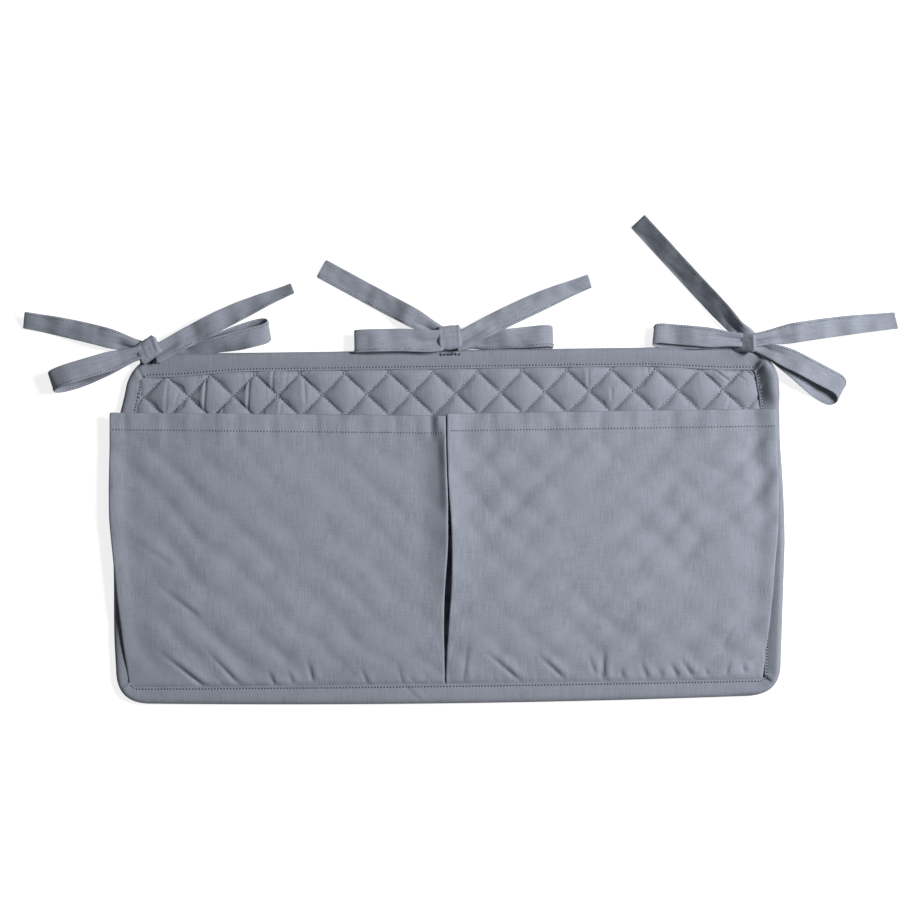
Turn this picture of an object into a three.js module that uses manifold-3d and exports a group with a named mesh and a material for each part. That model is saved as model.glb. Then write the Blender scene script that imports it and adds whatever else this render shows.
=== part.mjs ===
import * as THREE from 'three';
import { mergeVertices } from 'three/addons/utils/BufferGeometryUtils.js';
import Module from 'manifold-3d';

// Crib pocket organizer, lying on its back: X to the right, Y towards the ties, Z out of the front.
// Millimetres. The origin is the middle of the panel's back.

const wasm = await Module();
wasm.setup();

// Outline of the quilted panel
const PANEL_WIDTH = 600; // at its widest level
const PANEL_HEIGHT = 312;
const SHOULDER_INSET = 9.5; // of the lower ends of the rounded top corners from the widest part
const FOOT_INSET = 5; // of the upper ends of the rounded bottom corners from the widest part
const WIDEST_LEVEL = -20;
const SIDE_SWELL_LEVEL = 60; // height at which the sides turn in towards the shoulders
const TOP_CORNER_REACH = 42;
const TOP_CORNER_DROP = 28;
const TOP_CORNER_LEAN = 8;
const FOOT_CORNER = 30;
const CURVE_STEPS = 6;

// Bias binding folded over the panel's edge
const BINDING_TOP = 16.8;
const BINDING_SIDE = 15;
const BINDING_FOOT = 14;
const BINDING_CLOTH = 1;
const BINDING_ROLL = 1.2; // height of the padded roll over the inner edge
const QUILT_TUCK = 0.38; // share of the binding's width that the quilt's edge stays back from the fold

// Cloth layers of the quilt
const CLEARANCE = 0.3; // between layers that lie on each other
const FLOOR_CLEARANCE = 0.1;
const TIE_CLOTH = 0.9; // four layers of cotton, pressed
const LINING_CLOTH = 0.6;
const BATTING_THICKNESS = 2;
const FACE_CLOTH = 0.6;
const PUFF_RISE = 3.2;
const CHANNEL_RISE = 0.3; // bottom of a quilted channel over the flat cloth
const LINING_CHANNEL = 1.2; // depth of a channel in the back

// Diamond quilting
const DIAMOND_WIDTH = 39.7;
const DIAMOND_HEIGHT = 38.2;
const CROSSING_X = 7.4; // a crossing of the quilting lines
const CROSSING_BELOW_TOP = 38.6;
const FACE_FLAT = 0.5; // share of a diamond that is its crown
const LINING_FLAT = 0.92; // share of a diamond that lies flat at the back
const QUILT_TAPER = 0.55; // shares of the binding's width over which the puffs fade out beside it

// Pockets
const POCKET_CLOTH = 0.9;
const POCKET_ROOM = 5.6; // space between the quilting and the cloth
const POCKET_LEFT_WIDTH = 300; // from the centre slit to the side pleat, at the mouth
const POCKET_RIGHT_WIDTH = 292;
const POCKET_FOOT_LEAN = 14; // how much the side pleats run in towards the foot
const POCKET_LEAN_LEVEL = 10; // height at which they start to
const POCKET_LEAN_POWER = 1.5;
const POCKET_FOOT_CUT = 26; // slant of the lower outer corner
const POCKET_FOOT_CUT_RISE = 14;
const POCKET_RISE_LENGTH = 70; // distance over which the cloth rises from the bottom seam
const POCKET_COLUMNS = 7;
const LEFT_MOUTH_OUTER_DROP = 52; // from the panel's top edge
const LEFT_MOUTH_INNER_DROP = 59;
const RIGHT_MOUTH_OUTER_DROP = 56.5;
const RIGHT_MOUTH_INNER_DROP = 57;
const HEM_WIDTH = 15;
const HEM_EXTRA = 0.6; // added thickness of the turned hem
const SLIT_GAP = 1.6; // between the two pockets at the centre
const SLIT_LEAN = 5; // how far the slit runs to the left towards the foot

// Pleats between the pocket fronts and the panel
const PLEAT_DEPTH = 20;
const PLEAT_CLOTH = 0.7;
const PLEAT_EDGE_INSET = 1.5; // of the pleat's upper edge from the pocket's fold
const PLEAT_SEAM_INSET = 4; // of its sewn lower edge from the same fold
const PLEAT_FOOT_RISE = 42; // from the bottom seam to the pleat's open foot

// Ties, each tied in a bow at the top edge
const TIE_WIDTH = 18;
const TIE_PINCH = 0.74; // share of the width left where the strip enters the knot
const TIE_PINCH_REACH = 36;
const TIE_LAYER_STEP = 2.4; // between strips that leave the knot over each other
const TIE_SEAT_REACH = 14; // how far the strip is sewn down behind the binding
const KNOT_RADIUS = 12.5;
const KNOT_CAP = 1.2; // cloth of the knot over the topmost strip
const KNOT_WRAP = 0.1; // drawing-in of the knot towards its two ends
const KNOT_FOLD = 0.025; // depth of its gathers as a share of its size
const TAIL_STEPS = 10;
const LOOP_STEPS = 7;
const LOOP_FOLD_STEPS = 5;
const TACK_LENGTH = 20;
const TACK_WIDTH = 1.8;
const TACK_HEIGHT = 0.7;
const TACK_STITCHES = 5;
const TACK_WAIST = 0.6; // width between stitches as a share of the tack's width

// Each bow: place of its knot, its bar tack and its four strips. The inset runs to the right from the
// panel's left end (-1), middle (0) or right end (1). Angles in degrees from +X, lengths from the
// knot's middle. A tail's twist raises its lower edge at the end. A loop's sink is how far its end
// droops, its swell half its height there, its spread the sideways shift of its back layer.
const BOWS = {
  left: {
    end: -1,
    inset: 36,
    rise: 3.4,
    knotHeight: 19.6,
    tackDrop: 8.2,
    left_tail: { angle: 165.9, length: 116, twist: 0, droopStart: 30, droopEnd: 85, bend: -2 },
    left_loop: { angle: 196.3, length: 90, droopStart: 40, sink: 10.2, swell: 2.8, spread: 6 },
    right_tail: { angle: 22.4, length: 139, twist: 50, droopStart: 70, droopEnd: 139, bend: 2 },
    right_loop: { angle: 9, length: 107, droopStart: 50, sink: 4.6, swell: 2.4, spread: 0 },
  },
  centre: {
    end: 0,
    inset: 3.4,
    rise: 10.6,
    knotHeight: 20.6,
    tackDrop: 4.2,
    left_tail: { angle: 150.7, length: 131, twist: 0, droopStart: 30, droopEnd: 85, bend: 0 },
    left_loop: { angle: 180.6, length: 85, droopStart: 30, sink: 1.3, swell: 2.4, spread: 0 },
    right_tail: { angle: 21.4, length: 135, twist: 40, droopStart: 70, droopEnd: 135, bend: 2 },
    right_loop: { angle: 1.5, length: 91, droopStart: 40, sink: 4.4, swell: 2.4, spread: 0 },
  },
  right: {
    end: 1,
    inset: -30.5,
    rise: 3.9,
    knotHeight: 17.6,
    tackDrop: 6.2,
    left_tail: { angle: 131.8, length: 146, twist: 20, droopStart: 30, droopEnd: 90, bend: 3 },
    left_loop: { angle: 173.8, length: 85, droopStart: 40, sink: 5.6, swell: 2.6, spread: 0 },
    right_tail: { angle: 7.4, length: 134, twist: 42, droopStart: 40, droopEnd: 120, bend: 2 },
    right_loop: { angle: -26.9, length: 95, droopStart: 48, sink: 7.8, swell: 2.8, spread: -6 },
  },
};

// Heights of the layers, from the floor up
const TIE_SEAT_TOP = FLOOR_CLEARANCE + TIE_CLOTH;
const BINDING_BACK = TIE_SEAT_TOP + CLEARANCE;
const LINING_RIM = BINDING_BACK + BINDING_CLOTH + CLEARANCE;
const LINING_TOP = LINING_RIM + LINING_CLOTH;
const BATTING_BOTTOM = LINING_TOP + CLEARANCE;
const FACE_BOTTOM = BATTING_BOTTOM + BATTING_THICKNESS + CLEARANCE;
const FACE_TOP = FACE_BOTTOM + FACE_CLOTH;
const CROWN = FACE_TOP + PUFF_RISE;
const BINDING_LIP = FACE_TOP + CLEARANCE;
const BINDING_FRONT = BINDING_LIP + BINDING_CLOTH;
const BINDING_CROWN = BINDING_FRONT + BINDING_ROLL;
const BINDING_MIDDLE = (BINDING_BACK + BINDING_FRONT) / 2;
const SEAM_BACK = BINDING_LIP + CLEARANCE;
const POCKET_BACK = CROWN + POCKET_ROOM;
const PLEAT_BASE = Math.max(CROWN, BINDING_CROWN) + CLEARANCE;
const TIE_LEVEL = BINDING_CROWN + CLEARANCE * 2 + TIE_CLOTH;
const KNOT_BOTTOM = TIE_SEAT_TOP - TIE_CLOTH / 2;
const KNOT_TOP = TIE_LEVEL + TIE_LAYER_STEP * 2 + TIE_CLOTH / 2 + KNOT_CAP;

// Heights in the plan of the panel
const TOP_EDGE = PANEL_HEIGHT / 2;
const FOOT_EDGE = -PANEL_HEIGHT / 2;
const SEAM_LEVEL = FOOT_EDGE + BINDING_FOOT + CLEARANCE;

const cloth = { color: 0x868e9b, roughness: 0.92, metalness: 0 };
const wadding = { color: 0xdcdcd8, roughness: 1, metalness: 0 };
const thread = { color: 0x4a505c, roughness: 0.7, metalness: 0 };

// A closed solid from points and triangles, with its faces turned outwards
function closedSolid(points, triangles) {
  let volume = 0;
  for (const [a, b, c] of triangles) {
    volume += points[a].dot(new THREE.Vector3().crossVectors(points[b], points[c]));
  }
  const index = triangles.flatMap(([a, b, c]) => (volume > 0 ? [a, b, c] : [a, c, b]));
  const places = points.flatMap((p) => p.toArray());
  const geometry = new THREE.BufferGeometry();
  geometry.setAttribute('position', new THREE.Float32BufferAttribute(places, 3));
  geometry.setIndex(index);
  return geometry;
}

// Triangles over a closed flat loop, wound the way the loop runs
function capLoop(loop) {
  const normal = new THREE.Vector3();
  loop.forEach((p, i) => normal.add(new THREE.Vector3().crossVectors(p, loop[(i + 1) % loop.length])));
  const size = normal.toArray().map(Math.abs);
  const across = size.indexOf(Math.max(...size));
  const flat = loop.map((p) => new THREE.Vector2(...p.toArray().filter((_, axis) => axis !== across)));
  const turn = THREE.ShapeUtils.area(flat);
  return THREE.ShapeUtils.triangulateShape(flat, []).map(([a, b, c]) => {
    const same = THREE.ShapeUtils.area([flat[a], flat[b], flat[c]]) * turn > 0;
    return same ? [a, b, c] : [a, c, b];
  });
}

// A skin through equal loops, closed round on itself as a ring or capped at both ends
function loft(loops, ring = false) {
  const count = loops[0].length;
  const points = loops.flat();
  const triangles = [];
  const bands = ring ? loops.length : loops.length - 1;
  for (let band = 0; band < bands; band += 1) {
    const low = band * count;
    const high = ((band + 1) % loops.length) * count;
    for (let i = 0; i < count; i += 1) {
      const next = (i + 1) % count;
      triangles.push([low + i, low + next, high + next], [low + i, high + next, high + i]);
    }
  }
  if (!ring) {
    const last = (loops.length - 1) * count;
    capLoop(loops[0]).forEach(([a, b, c]) => triangles.push([a, c, b]));
    capLoop(loops.at(-1)).forEach(([a, b, c]) => triangles.push([last + a, last + b, last + c]));
  }
  return closedSolid(points, triangles);
}

function toManifold(geometry) {
  const plain = geometry.clone();
  plain.deleteAttribute('normal');
  plain.deleteAttribute('uv');
  const merged = mergeVertices(plain, 1e-4);
  const vertProperties = new Float32Array(merged.attributes.position.array);
  const triVerts = new Uint32Array(merged.index.array);
  return new wasm.Manifold(new wasm.Mesh({ numProp: 3, vertProperties, triVerts }));
}

function fromManifold(solid) {
  const { vertProperties, triVerts } = solid.getMesh();
  const geometry = new THREE.BufferGeometry();
  geometry.setAttribute('position', new THREE.BufferAttribute(new Float32Array(vertProperties), 3));
  geometry.setIndex(new THREE.BufferAttribute(new Uint32Array(triVerts), 1));
  return geometry;
}

const lerp = THREE.MathUtils.lerp;
const smooth = (value, from, to) => THREE.MathUtils.smoothstep(value, from, to);
const parts = new THREE.Group();

function addPart(name, geometry, finish) {
  const mesh = new THREE.Mesh(geometry, new THREE.MeshStandardMaterial(finish));
  mesh.name = name;
  parts.add(mesh);
}

// Outline of the panel: share 0 is its outer edge, 1 the inner edge of the binding
function panelOutline(share) {
  const inset = share * BINDING_SIDE;
  const top = TOP_EDGE - share * BINDING_TOP;
  const foot = FOOT_EDGE + share * BINDING_FOOT;
  const shoulder = PANEL_WIDTH / 2 - SHOULDER_INSET - inset;
  const side = PANEL_WIDTH / 2 - inset;
  const footSide = PANEL_WIDTH / 2 - FOOT_INSET - inset;
  const reach = Math.max(TOP_CORNER_REACH - inset, CLEARANCE);
  const drop = Math.max(TOP_CORNER_DROP - share * BINDING_TOP, CLEARANCE);
  const lean = Math.min(TOP_CORNER_LEAN, reach / 2);
  const corner = Math.max(FOOT_CORNER - inset, CLEARANCE);
  const shape = new THREE.Shape();
  shape.moveTo(-footSide + corner, foot);
  shape.lineTo(footSide - corner, foot);
  shape.quadraticCurveTo(footSide, foot, footSide, foot + corner);
  shape.lineTo(side, WIDEST_LEVEL);
  shape.quadraticCurveTo(side, SIDE_SWELL_LEVEL, shoulder, top - drop);
  shape.quadraticCurveTo(shoulder - lean, top, shoulder - reach, top);
  shape.lineTo(-shoulder + reach, top);
  shape.quadraticCurveTo(-shoulder + lean, top, -shoulder, top - drop);
  shape.quadraticCurveTo(-side, SIDE_SWELL_LEVEL, -side, WIDEST_LEVEL);
  shape.lineTo(-footSide, foot + corner);
  shape.quadraticCurveTo(-footSide, foot, -footSide + corner, foot);
  return shape.getPoints(CURVE_STEPS).slice(0, -1);
}

function outlineLoop(share, z) {
  return panelOutline(share).map((p) => new THREE.Vector3(p.x, p.y, z));
}

// Binding: a C-shaped section carried round the panel's outline
function bindingGeometry() {
  const wall = BINDING_CLOTH / BINDING_SIDE;
  const outside = [
    [1, BINDING_FRONT],
    [0.55, BINDING_CROWN],
    [0.16, lerp(BINDING_FRONT, BINDING_CROWN, 0.4)],
    [0, BINDING_MIDDLE],
    [0.16, BINDING_BACK + BINDING_CLOTH / 2],
    [0.34, BINDING_BACK],
    [1, BINDING_BACK],
  ];
  const inside = [
    [1, BINDING_BACK + BINDING_CLOTH],
    [0.34, BINDING_BACK + BINDING_CLOTH],
    [0.16 + wall, BINDING_BACK + BINDING_CLOTH * 1.5],
    [wall, BINDING_MIDDLE],
    [0.16 + wall, lerp(BINDING_LIP, BINDING_CROWN - BINDING_CLOTH, 0.4)],
    [0.55, BINDING_CROWN - BINDING_CLOTH],
    [1, BINDING_LIP],
  ];
  return loft([...outside, ...inside].map(([share, z]) => outlineLoop(share, z)), true);
}

function isInside(outline, point) {
  let inside = false;
  outline.forEach((a, i) => {
    const b = outline[(i + 1) % outline.length];
    const crosses = a.y > point.y !== b.y > point.y;
    if (crosses && point.x < lerp(a.x, b.x, (point.y - a.y) / (b.y - a.y))) inside = !inside;
  });
  return inside;
}

// A field of diamonds: flat on one side, with a flat-topped puff in each whole diamond on the other.
// A diamond cut by the binding rises to a peak if its middle is clear of it, or stays low.
function puffField({ base, channel, crown, flat, peaks, outline }) {
  const halfWidth = DIAMOND_WIDTH / 2;
  const halfHeight = DIAMOND_HEIGHT / 2;
  const startY = TOP_EDGE - CROSSING_BELOW_TOP;
  const columns = Math.ceil(PANEL_WIDTH / DIAMOND_WIDTH) + 2;
  const rowsAbove = Math.ceil(CROSSING_BELOW_TOP / halfHeight);
  const rowsBelow = Math.ceil((PANEL_HEIGHT - CROSSING_BELOW_TOP) / halfHeight);
  const points = [];
  const triangles = [];
  const known = new Map();
  const edges = new Map();
  const place = (i, j, z) => new THREE.Vector3(CROSSING_X + i * halfWidth, startY + j * halfHeight, z);
  const corner = (i, j, z) => {
    const key = `${i},${j},${z}`;
    if (!known.has(key)) known.set(key, points.push(place(i, j, z)) - 1);
    return known.get(key);
  };
  const diamond = (i, j) => {
    const ends = [[i + 1, j], [i, j + 1], [i - 1, j], [i, j - 1]];
    const low = ends.map(([a, b]) => corner(a, b, base));
    const rim = ends.map(([a, b]) => corner(a, b, channel));
    const middle = place(i, j, crown);
    triangles.push([low[0], low[2], low[1]], [low[0], low[3], low[2]]);
    ends.forEach((_, k) => {
      const next = (k + 1) % ends.length;
      edges.set(`${rim[k]},${rim[next]}`, [rim[k], rim[next], low[k], low[next]]);
    });
    if (rim.every((id) => isInside(outline, points[id]))) {
      const top = rim.map((id) => points.push(points[id].clone().lerp(middle, 1 - flat).setZ(crown)) - 1);
      triangles.push([top[0], top[1], top[2]], [top[0], top[2], top[3]]);
      rim.forEach((id, k) => {
        const next = (k + 1) % rim.length;
        triangles.push([id, rim[next], top[next]], [id, top[next], top[k]]);
      });
    } else if (peaks && isInside(outline, middle)) {
      const peak = points.push(middle) - 1;
      rim.forEach((id, k) => triangles.push([id, rim[(k + 1) % rim.length], peak]));
    } else {
      triangles.push([rim[0], rim[1], rim[2]], [rim[0], rim[2], rim[3]]);
    }
  };
  for (let j = -rowsBelow; j <= rowsAbove; j += 1) {
    for (let i = -columns; i <= columns; i += 1) {
      if ((i + j) % 2 !== 0) diamond(i, j);
    }
  }
  for (const [rimA, rimB, lowA, lowB] of edges.values()) {
    if (edges.has(`${rimB},${rimA}`)) continue;
    triangles.push([lowA, lowB, rimB], [lowA, rimB, rimA]);
  }
  return toManifold(closedSolid(points, triangles));
}

// A cotton of the quilt: a flat rim caught in the binding and quilted puffs inside it
function quiltCotton({ rimBottom, rimTop, puffs, taperFrom, taperTo }) {
  const rim = loft([outlineLoop(QUILT_TUCK, rimBottom), outlineLoop(QUILT_TUCK, rimTop)]);
  const edge = 1 + CLEARANCE * 2 / BINDING_SIDE;
  const fade = loft([outlineLoop(edge, taperFrom), outlineLoop(edge + QUILT_TAPER, taperTo)]);
  const outline = panelOutline(edge + QUILT_TAPER);
  const quilting = puffField({ ...puffs, outline }).intersect(toManifold(fade));
  return fromManifold(toManifold(rim).add(quilting));
}

function addPanel() {
  const liningMiddle = (LINING_RIM + LINING_TOP) / 2;
  const faceMiddle = (FACE_BOTTOM + FACE_TOP) / 2;
  addPart('quilt_lining', quiltCotton({
    rimBottom: LINING_RIM,
    rimTop: LINING_TOP,
    puffs: { base: liningMiddle, channel: LINING_CHANNEL, crown: 0, flat: LINING_FLAT, peaks: false },
    taperFrom: liningMiddle + CLEARANCE / 2,
    taperTo: -CLEARANCE,
  }), cloth);
  addPart('quilt_batting', loft([
    outlineLoop(QUILT_TUCK, BATTING_BOTTOM),
    outlineLoop(QUILT_TUCK, BATTING_BOTTOM + BATTING_THICKNESS),
  ]), wadding);
  const faceChannel = FACE_TOP + CHANNEL_RISE;
  addPart('quilt_face', quiltCotton({
    rimBottom: FACE_BOTTOM,
    rimTop: FACE_TOP,
    puffs: { base: faceMiddle, channel: faceChannel, crown: CROWN, flat: FACE_FLAT, peaks: true },
    taperFrom: faceMiddle - CLEARANCE / 2,
    taperTo: CROWN + CLEARANCE,
  }), cloth);
  addPart('edge_binding', bindingGeometry(), cloth);
}

// One pocket in plan: side is -1 at the left and 1 at the right
function pocketPlan(side, width, mouthOuterDrop, mouthInnerDrop) {
  const innerMouth = TOP_EDGE - mouthInnerDrop;
  const outerMouth = TOP_EDGE - mouthOuterDrop;
  const slit = (y) => -SLIT_LEAN * (innerMouth - y) / (innerMouth - SEAM_LEVEL);
  const inner = (y) => slit(y) + side * SLIT_GAP / 2;
  const outer = (y) => {
    const lean = Math.max(POCKET_LEAN_LEVEL - y, 0) / (POCKET_LEAN_LEVEL - SEAM_LEVEL);
    return side * (width - POCKET_FOOT_LEAN * lean ** POCKET_LEAN_POWER);
  };
  const footCut = (y) => {
    const share = Math.max(1 - (y - SEAM_LEVEL) / POCKET_FOOT_CUT_RISE, 0);
    return -side * POCKET_FOOT_CUT * share;
  };
  return { side, inner, outer, footCut, innerMouth, outerMouth };
}

const POCKETS = {
  left: pocketPlan(-1, POCKET_LEFT_WIDTH, LEFT_MOUTH_OUTER_DROP, LEFT_MOUTH_INNER_DROP),
  right: pocketPlan(1, POCKET_RIGHT_WIDTH, RIGHT_MOUTH_OUTER_DROP, RIGHT_MOUTH_INNER_DROP),
};

// Height of the pocket cloth's back: close to the quilt at the seam, full room further up
function pocketBack(y) {
  const fromSeam = y - SEAM_LEVEL;
  const taper = QUILT_TAPER * BINDING_FOOT + CLEARANCE;
  if (fromSeam < taper) return lerp(SEAM_BACK, CROWN + CLEARANCE * 2, fromSeam / taper);
  const share = Math.min((fromSeam - taper) / (POCKET_RISE_LENGTH - taper), 1);
  return lerp(CROWN + CLEARANCE * 2, POCKET_BACK, Math.sin(share * Math.PI / 2));
}

// The pocket front: a cloth plate that rises from the bottom seam and has a turned hem at its mouth
function pocketGeometry(plan) {
  const taper = QUILT_TAPER * BINDING_FOOT + CLEARANCE;
  const rise = (share) => lerp(taper, POCKET_RISE_LENGTH, share);
  const rows = [
    ...[0, taper, rise(1 / 3), rise(2 / 3), rise(1), rise(5 / 3)].map((fromSeam) => ({ fromSeam })),
    { fromMouth: HEM_WIDTH + HEM_EXTRA },
    { fromMouth: HEM_WIDTH, hem: true },
    { fromMouth: 0, hem: true },
  ];
  const front = [];
  const back = [];
  for (const { fromSeam, fromMouth, hem } of rows) {
    const frontRow = [];
    const backRow = [];
    for (let column = 0; column < POCKET_COLUMNS; column += 1) {
      const across = column / (POCKET_COLUMNS - 1);
      const mouth = lerp(plan.innerMouth, plan.outerMouth, across);
      const y = fromSeam === undefined ? mouth - fromMouth : SEAM_LEVEL + fromSeam;
      const x = lerp(plan.inner(y), plan.outer(y) + plan.footCut(y), across);
      const z = pocketBack(y);
      frontRow.push(new THREE.Vector3(x, y, z + POCKET_CLOTH));
      backRow.push(new THREE.Vector3(x, y, z - (hem ? HEM_EXTRA : 0)));
    }
    front.push(frontRow);
    back.push(backRow);
  }
  const loops = rows.map((_, row) => [...back[row], ...front[row].reverse()]);
  return loft(loops);
}

// A pleat: cloth folded to a V on its side between the pocket's edge and the panel
function pleatGeometry(plan, edge, inward) {
  const mouth = edge === plan.inner ? plan.innerMouth : plan.outerMouth;
  const foot = SEAM_LEVEL + PLEAT_FOOT_RISE;
  const levels = [foot, SEAM_LEVEL + POCKET_RISE_LENGTH, (foot + mouth) / 2, mouth - PLEAT_EDGE_INSET];
  return loft(levels.map((y) => {
    const top = pocketBack(y) - CLEARANCE - (y > mouth - HEM_WIDTH * 2 ? HEM_EXTRA : 0);
    const middle = (PLEAT_BASE + top) / 2;
    const half = PLEAT_CLOTH / 2;
    const upper = edge(y) + inward * PLEAT_EDGE_INSET;
    const lower = edge(y) + inward * PLEAT_SEAM_INSET;
    const fold = edge(y) + inward * PLEAT_DEPTH;
    return [
      [upper, top],
      [fold - inward * PLEAT_CLOTH, middle + half],
      [fold, middle],
      [fold - inward * PLEAT_CLOTH, middle - half],
      [lower, PLEAT_BASE],
      [lower, PLEAT_BASE + PLEAT_CLOTH],
      [fold - inward * PLEAT_CLOTH * 4, middle],
      [upper, top - PLEAT_CLOTH],
    ].map(([x, z]) => new THREE.Vector3(x, y, z));
  }));
}

function addPockets() {
  for (const [name, plan] of Object.entries(POCKETS)) {
    addPart(`pocket_${name}_front`, pocketGeometry(plan), cloth);
    addPart(`pocket_${name}_outer_gusset`, pleatGeometry(plan, plan.outer, -plan.side), cloth);
    addPart(`pocket_${name}_inner_gusset`, pleatGeometry(plan, plan.inner, plan.side), cloth);
  }
}

// A flat strip through stations, each with its middle, its width direction and its face direction
function strip(stations) {
  return loft(stations.map(({ middle, across, facing, width }) => {
    const side = across.clone().multiplyScalar(width / 2);
    const face = facing.clone().multiplyScalar(TIE_CLOTH / 2);
    return [
      middle.clone().add(side).add(face),
      middle.clone().sub(side).add(face),
      middle.clone().sub(side).sub(face),
      middle.clone().add(side).sub(face),
    ];
  }));
}

function tieWidth(reach) {
  return TIE_WIDTH * lerp(TIE_PINCH, 1, smooth(reach, KNOT_RADIUS, TIE_PINCH_REACH));
}

// A tail runs level out of the knot, droops and may twist towards its end
function tailGeometry({ angle, length, twist, droopStart, droopEnd, bend }, level) {
  const ahead = new THREE.Vector3(1, 0, 0);
  const across = new THREE.Vector3(0, 1, 0);
  const twistEnd = THREE.MathUtils.degToRad(twist);
  const resting = FLOOR_CLEARANCE + TIE_CLOTH / 2 + Math.sin(twistEnd) * TIE_WIDTH / 2;
  const stations = [];
  for (let step = 0; step <= TAIL_STEPS; step += 1) {
    const share = step / TAIL_STEPS;
    const reach = lerp(KNOT_RADIUS / 2, length, share);
    const turn = -twistEnd * smooth(share, 0.4, 1);
    const drop = smooth(reach, droopStart, droopEnd);
    stations.push({
      middle: new THREE.Vector3(reach, bend * 4 * share * (1 - share), lerp(level, resting, drop)),
      across: across.clone().applyAxisAngle(ahead, turn),
      facing: new THREE.Vector3(0, 0, 1).applyAxisAngle(ahead, turn),
      width: tieWidth(reach),
    });
  }
  return strip(stations).rotateZ(THREE.MathUtils.degToRad(angle));
}

// A loop runs out of the knot, folds back at its end and returns under itself
function loopGeometry({ angle, length, droopStart, sink, swell, spread }, level) {
  const straight = length - swell;
  const half = (reach) => lerp(TIE_LAYER_STEP / 2, swell, smooth(reach, KNOT_RADIUS, straight));
  const height = (reach) => level + TIE_LAYER_STEP / 2 - sink * smooth(reach, droopStart, straight);
  const path = [];
  for (let step = 0; step <= LOOP_STEPS; step += 1) {
    const reach = lerp(KNOT_RADIUS / 2, straight, step / LOOP_STEPS);
    path.push({ reach, z: height(reach) + half(reach), shift: 0 });
  }
  const under = path.map(({ reach }) => {
    return { reach, z: height(reach) - half(reach), shift: spread * smooth(reach, KNOT_RADIUS, straight) };
  });
  for (let step = 1; step < LOOP_FOLD_STEPS; step += 1) {
    const turn = Math.PI * step / LOOP_FOLD_STEPS;
    const z = height(straight) + swell * Math.cos(turn);
    path.push({ reach: straight + swell * Math.sin(turn), z, shift: spread * step / LOOP_FOLD_STEPS });
  }
  path.push(...under.reverse());
  const stations = path.map(({ reach, z, shift }, i) => {
    const before = path[Math.max(i - 1, 0)];
    const after = path[Math.min(i + 1, path.length - 1)];
    const along = new THREE.Vector3(after.reach - before.reach, 0, after.z - before.z).normalize();
    return {
      middle: new THREE.Vector3(reach, shift, z),
      across: new THREE.Vector3(0, 1, 0),
      facing: new THREE.Vector3(-along.z, 0, along.x),
      width: tieWidth(reach),
    };
  });
  return strip(stations).rotateZ(THREE.MathUtils.degToRad(angle));
}

// A round post about the knot's middle, as a cutter for the knot's ends and the strips' roots
function knotPost(radius) {
  const height = KNOT_TOP * 3;
  return toManifold(new THREE.CylinderGeometry(radius, radius, height, 40).rotateX(Math.PI / 2));
}

// The knot: a gathered band wrapped over the crossing strips, rounded at the ends where they come
// out, with the sewn seat of the tie behind the binding
function knotGeometry(x, y, knotHeight) {
  const stationCount = 13;
  const corners = 16;
  const middleZ = (KNOT_BOTTOM + KNOT_TOP) / 2;
  const loops = [];
  for (let station = 0; station < stationCount; station += 1) {
    const share = lerp(-1, 1, station / (stationCount - 1));
    const gather = KNOT_FOLD * (station % 3 === 0 ? 1 : 0);
    const size = 1 - KNOT_WRAP * share ** 4 - gather;
    const loop = [];
    for (let corner = 0; corner < corners; corner += 1) {
      const turn = 2 * Math.PI * (corner + 0.5) / corners;
      const soften = (value) => Math.sign(value) * Math.sqrt(Math.abs(value));
      const up = middleZ + soften(Math.sin(turn)) * size * (KNOT_TOP - KNOT_BOTTOM) / 2;
      loop.push(new THREE.Vector3(share * KNOT_RADIUS, soften(Math.cos(turn)) * size * knotHeight / 2, up));
    }
    loops.push(loop);
  }
  const seatLength = y - TOP_EDGE + TIE_SEAT_REACH;
  const seat = new THREE.BoxGeometry(TIE_WIDTH, seatLength, TIE_CLOTH);
  seat.translate(0, -seatLength / 2, FLOOR_CLEARANCE + TIE_CLOTH / 2);
  const panel = loft([
    outlineLoop(-CLEARANCE / BINDING_FOOT, TIE_SEAT_TOP),
    outlineLoop(-CLEARANCE / BINDING_FOOT, BINDING_CROWN + CLEARANCE),
  ]).translate(-x, -y, 0);
  const band = toManifold(loft(loops)).intersect(knotPost(KNOT_RADIUS)).subtract(toManifold(panel));
  return fromManifold(band.add(toManifold(seat)));
}

// A bar tack: a row of stitches over the binding that holds the tie
function tackGeometry() {
  const shape = new THREE.Shape();
  const edge = [];
  for (let step = 0; step <= TACK_STITCHES * 2; step += 1) {
    const width = TACK_WIDTH * (step % 2 === 1 ? 1 : TACK_WAIST);
    const along = step / (TACK_STITCHES * 2) - 0.5;
    edge.push(new THREE.Vector2(along * TACK_LENGTH, width / 2));
  }
  const below = edge.map((p) => new THREE.Vector2(p.x, -p.y));
  shape.setFromPoints([...below, ...edge.reverse()]);
  return new THREE.ExtrudeGeometry(shape, { depth: TACK_HEIGHT, bevelEnabled: false });
}

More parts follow.
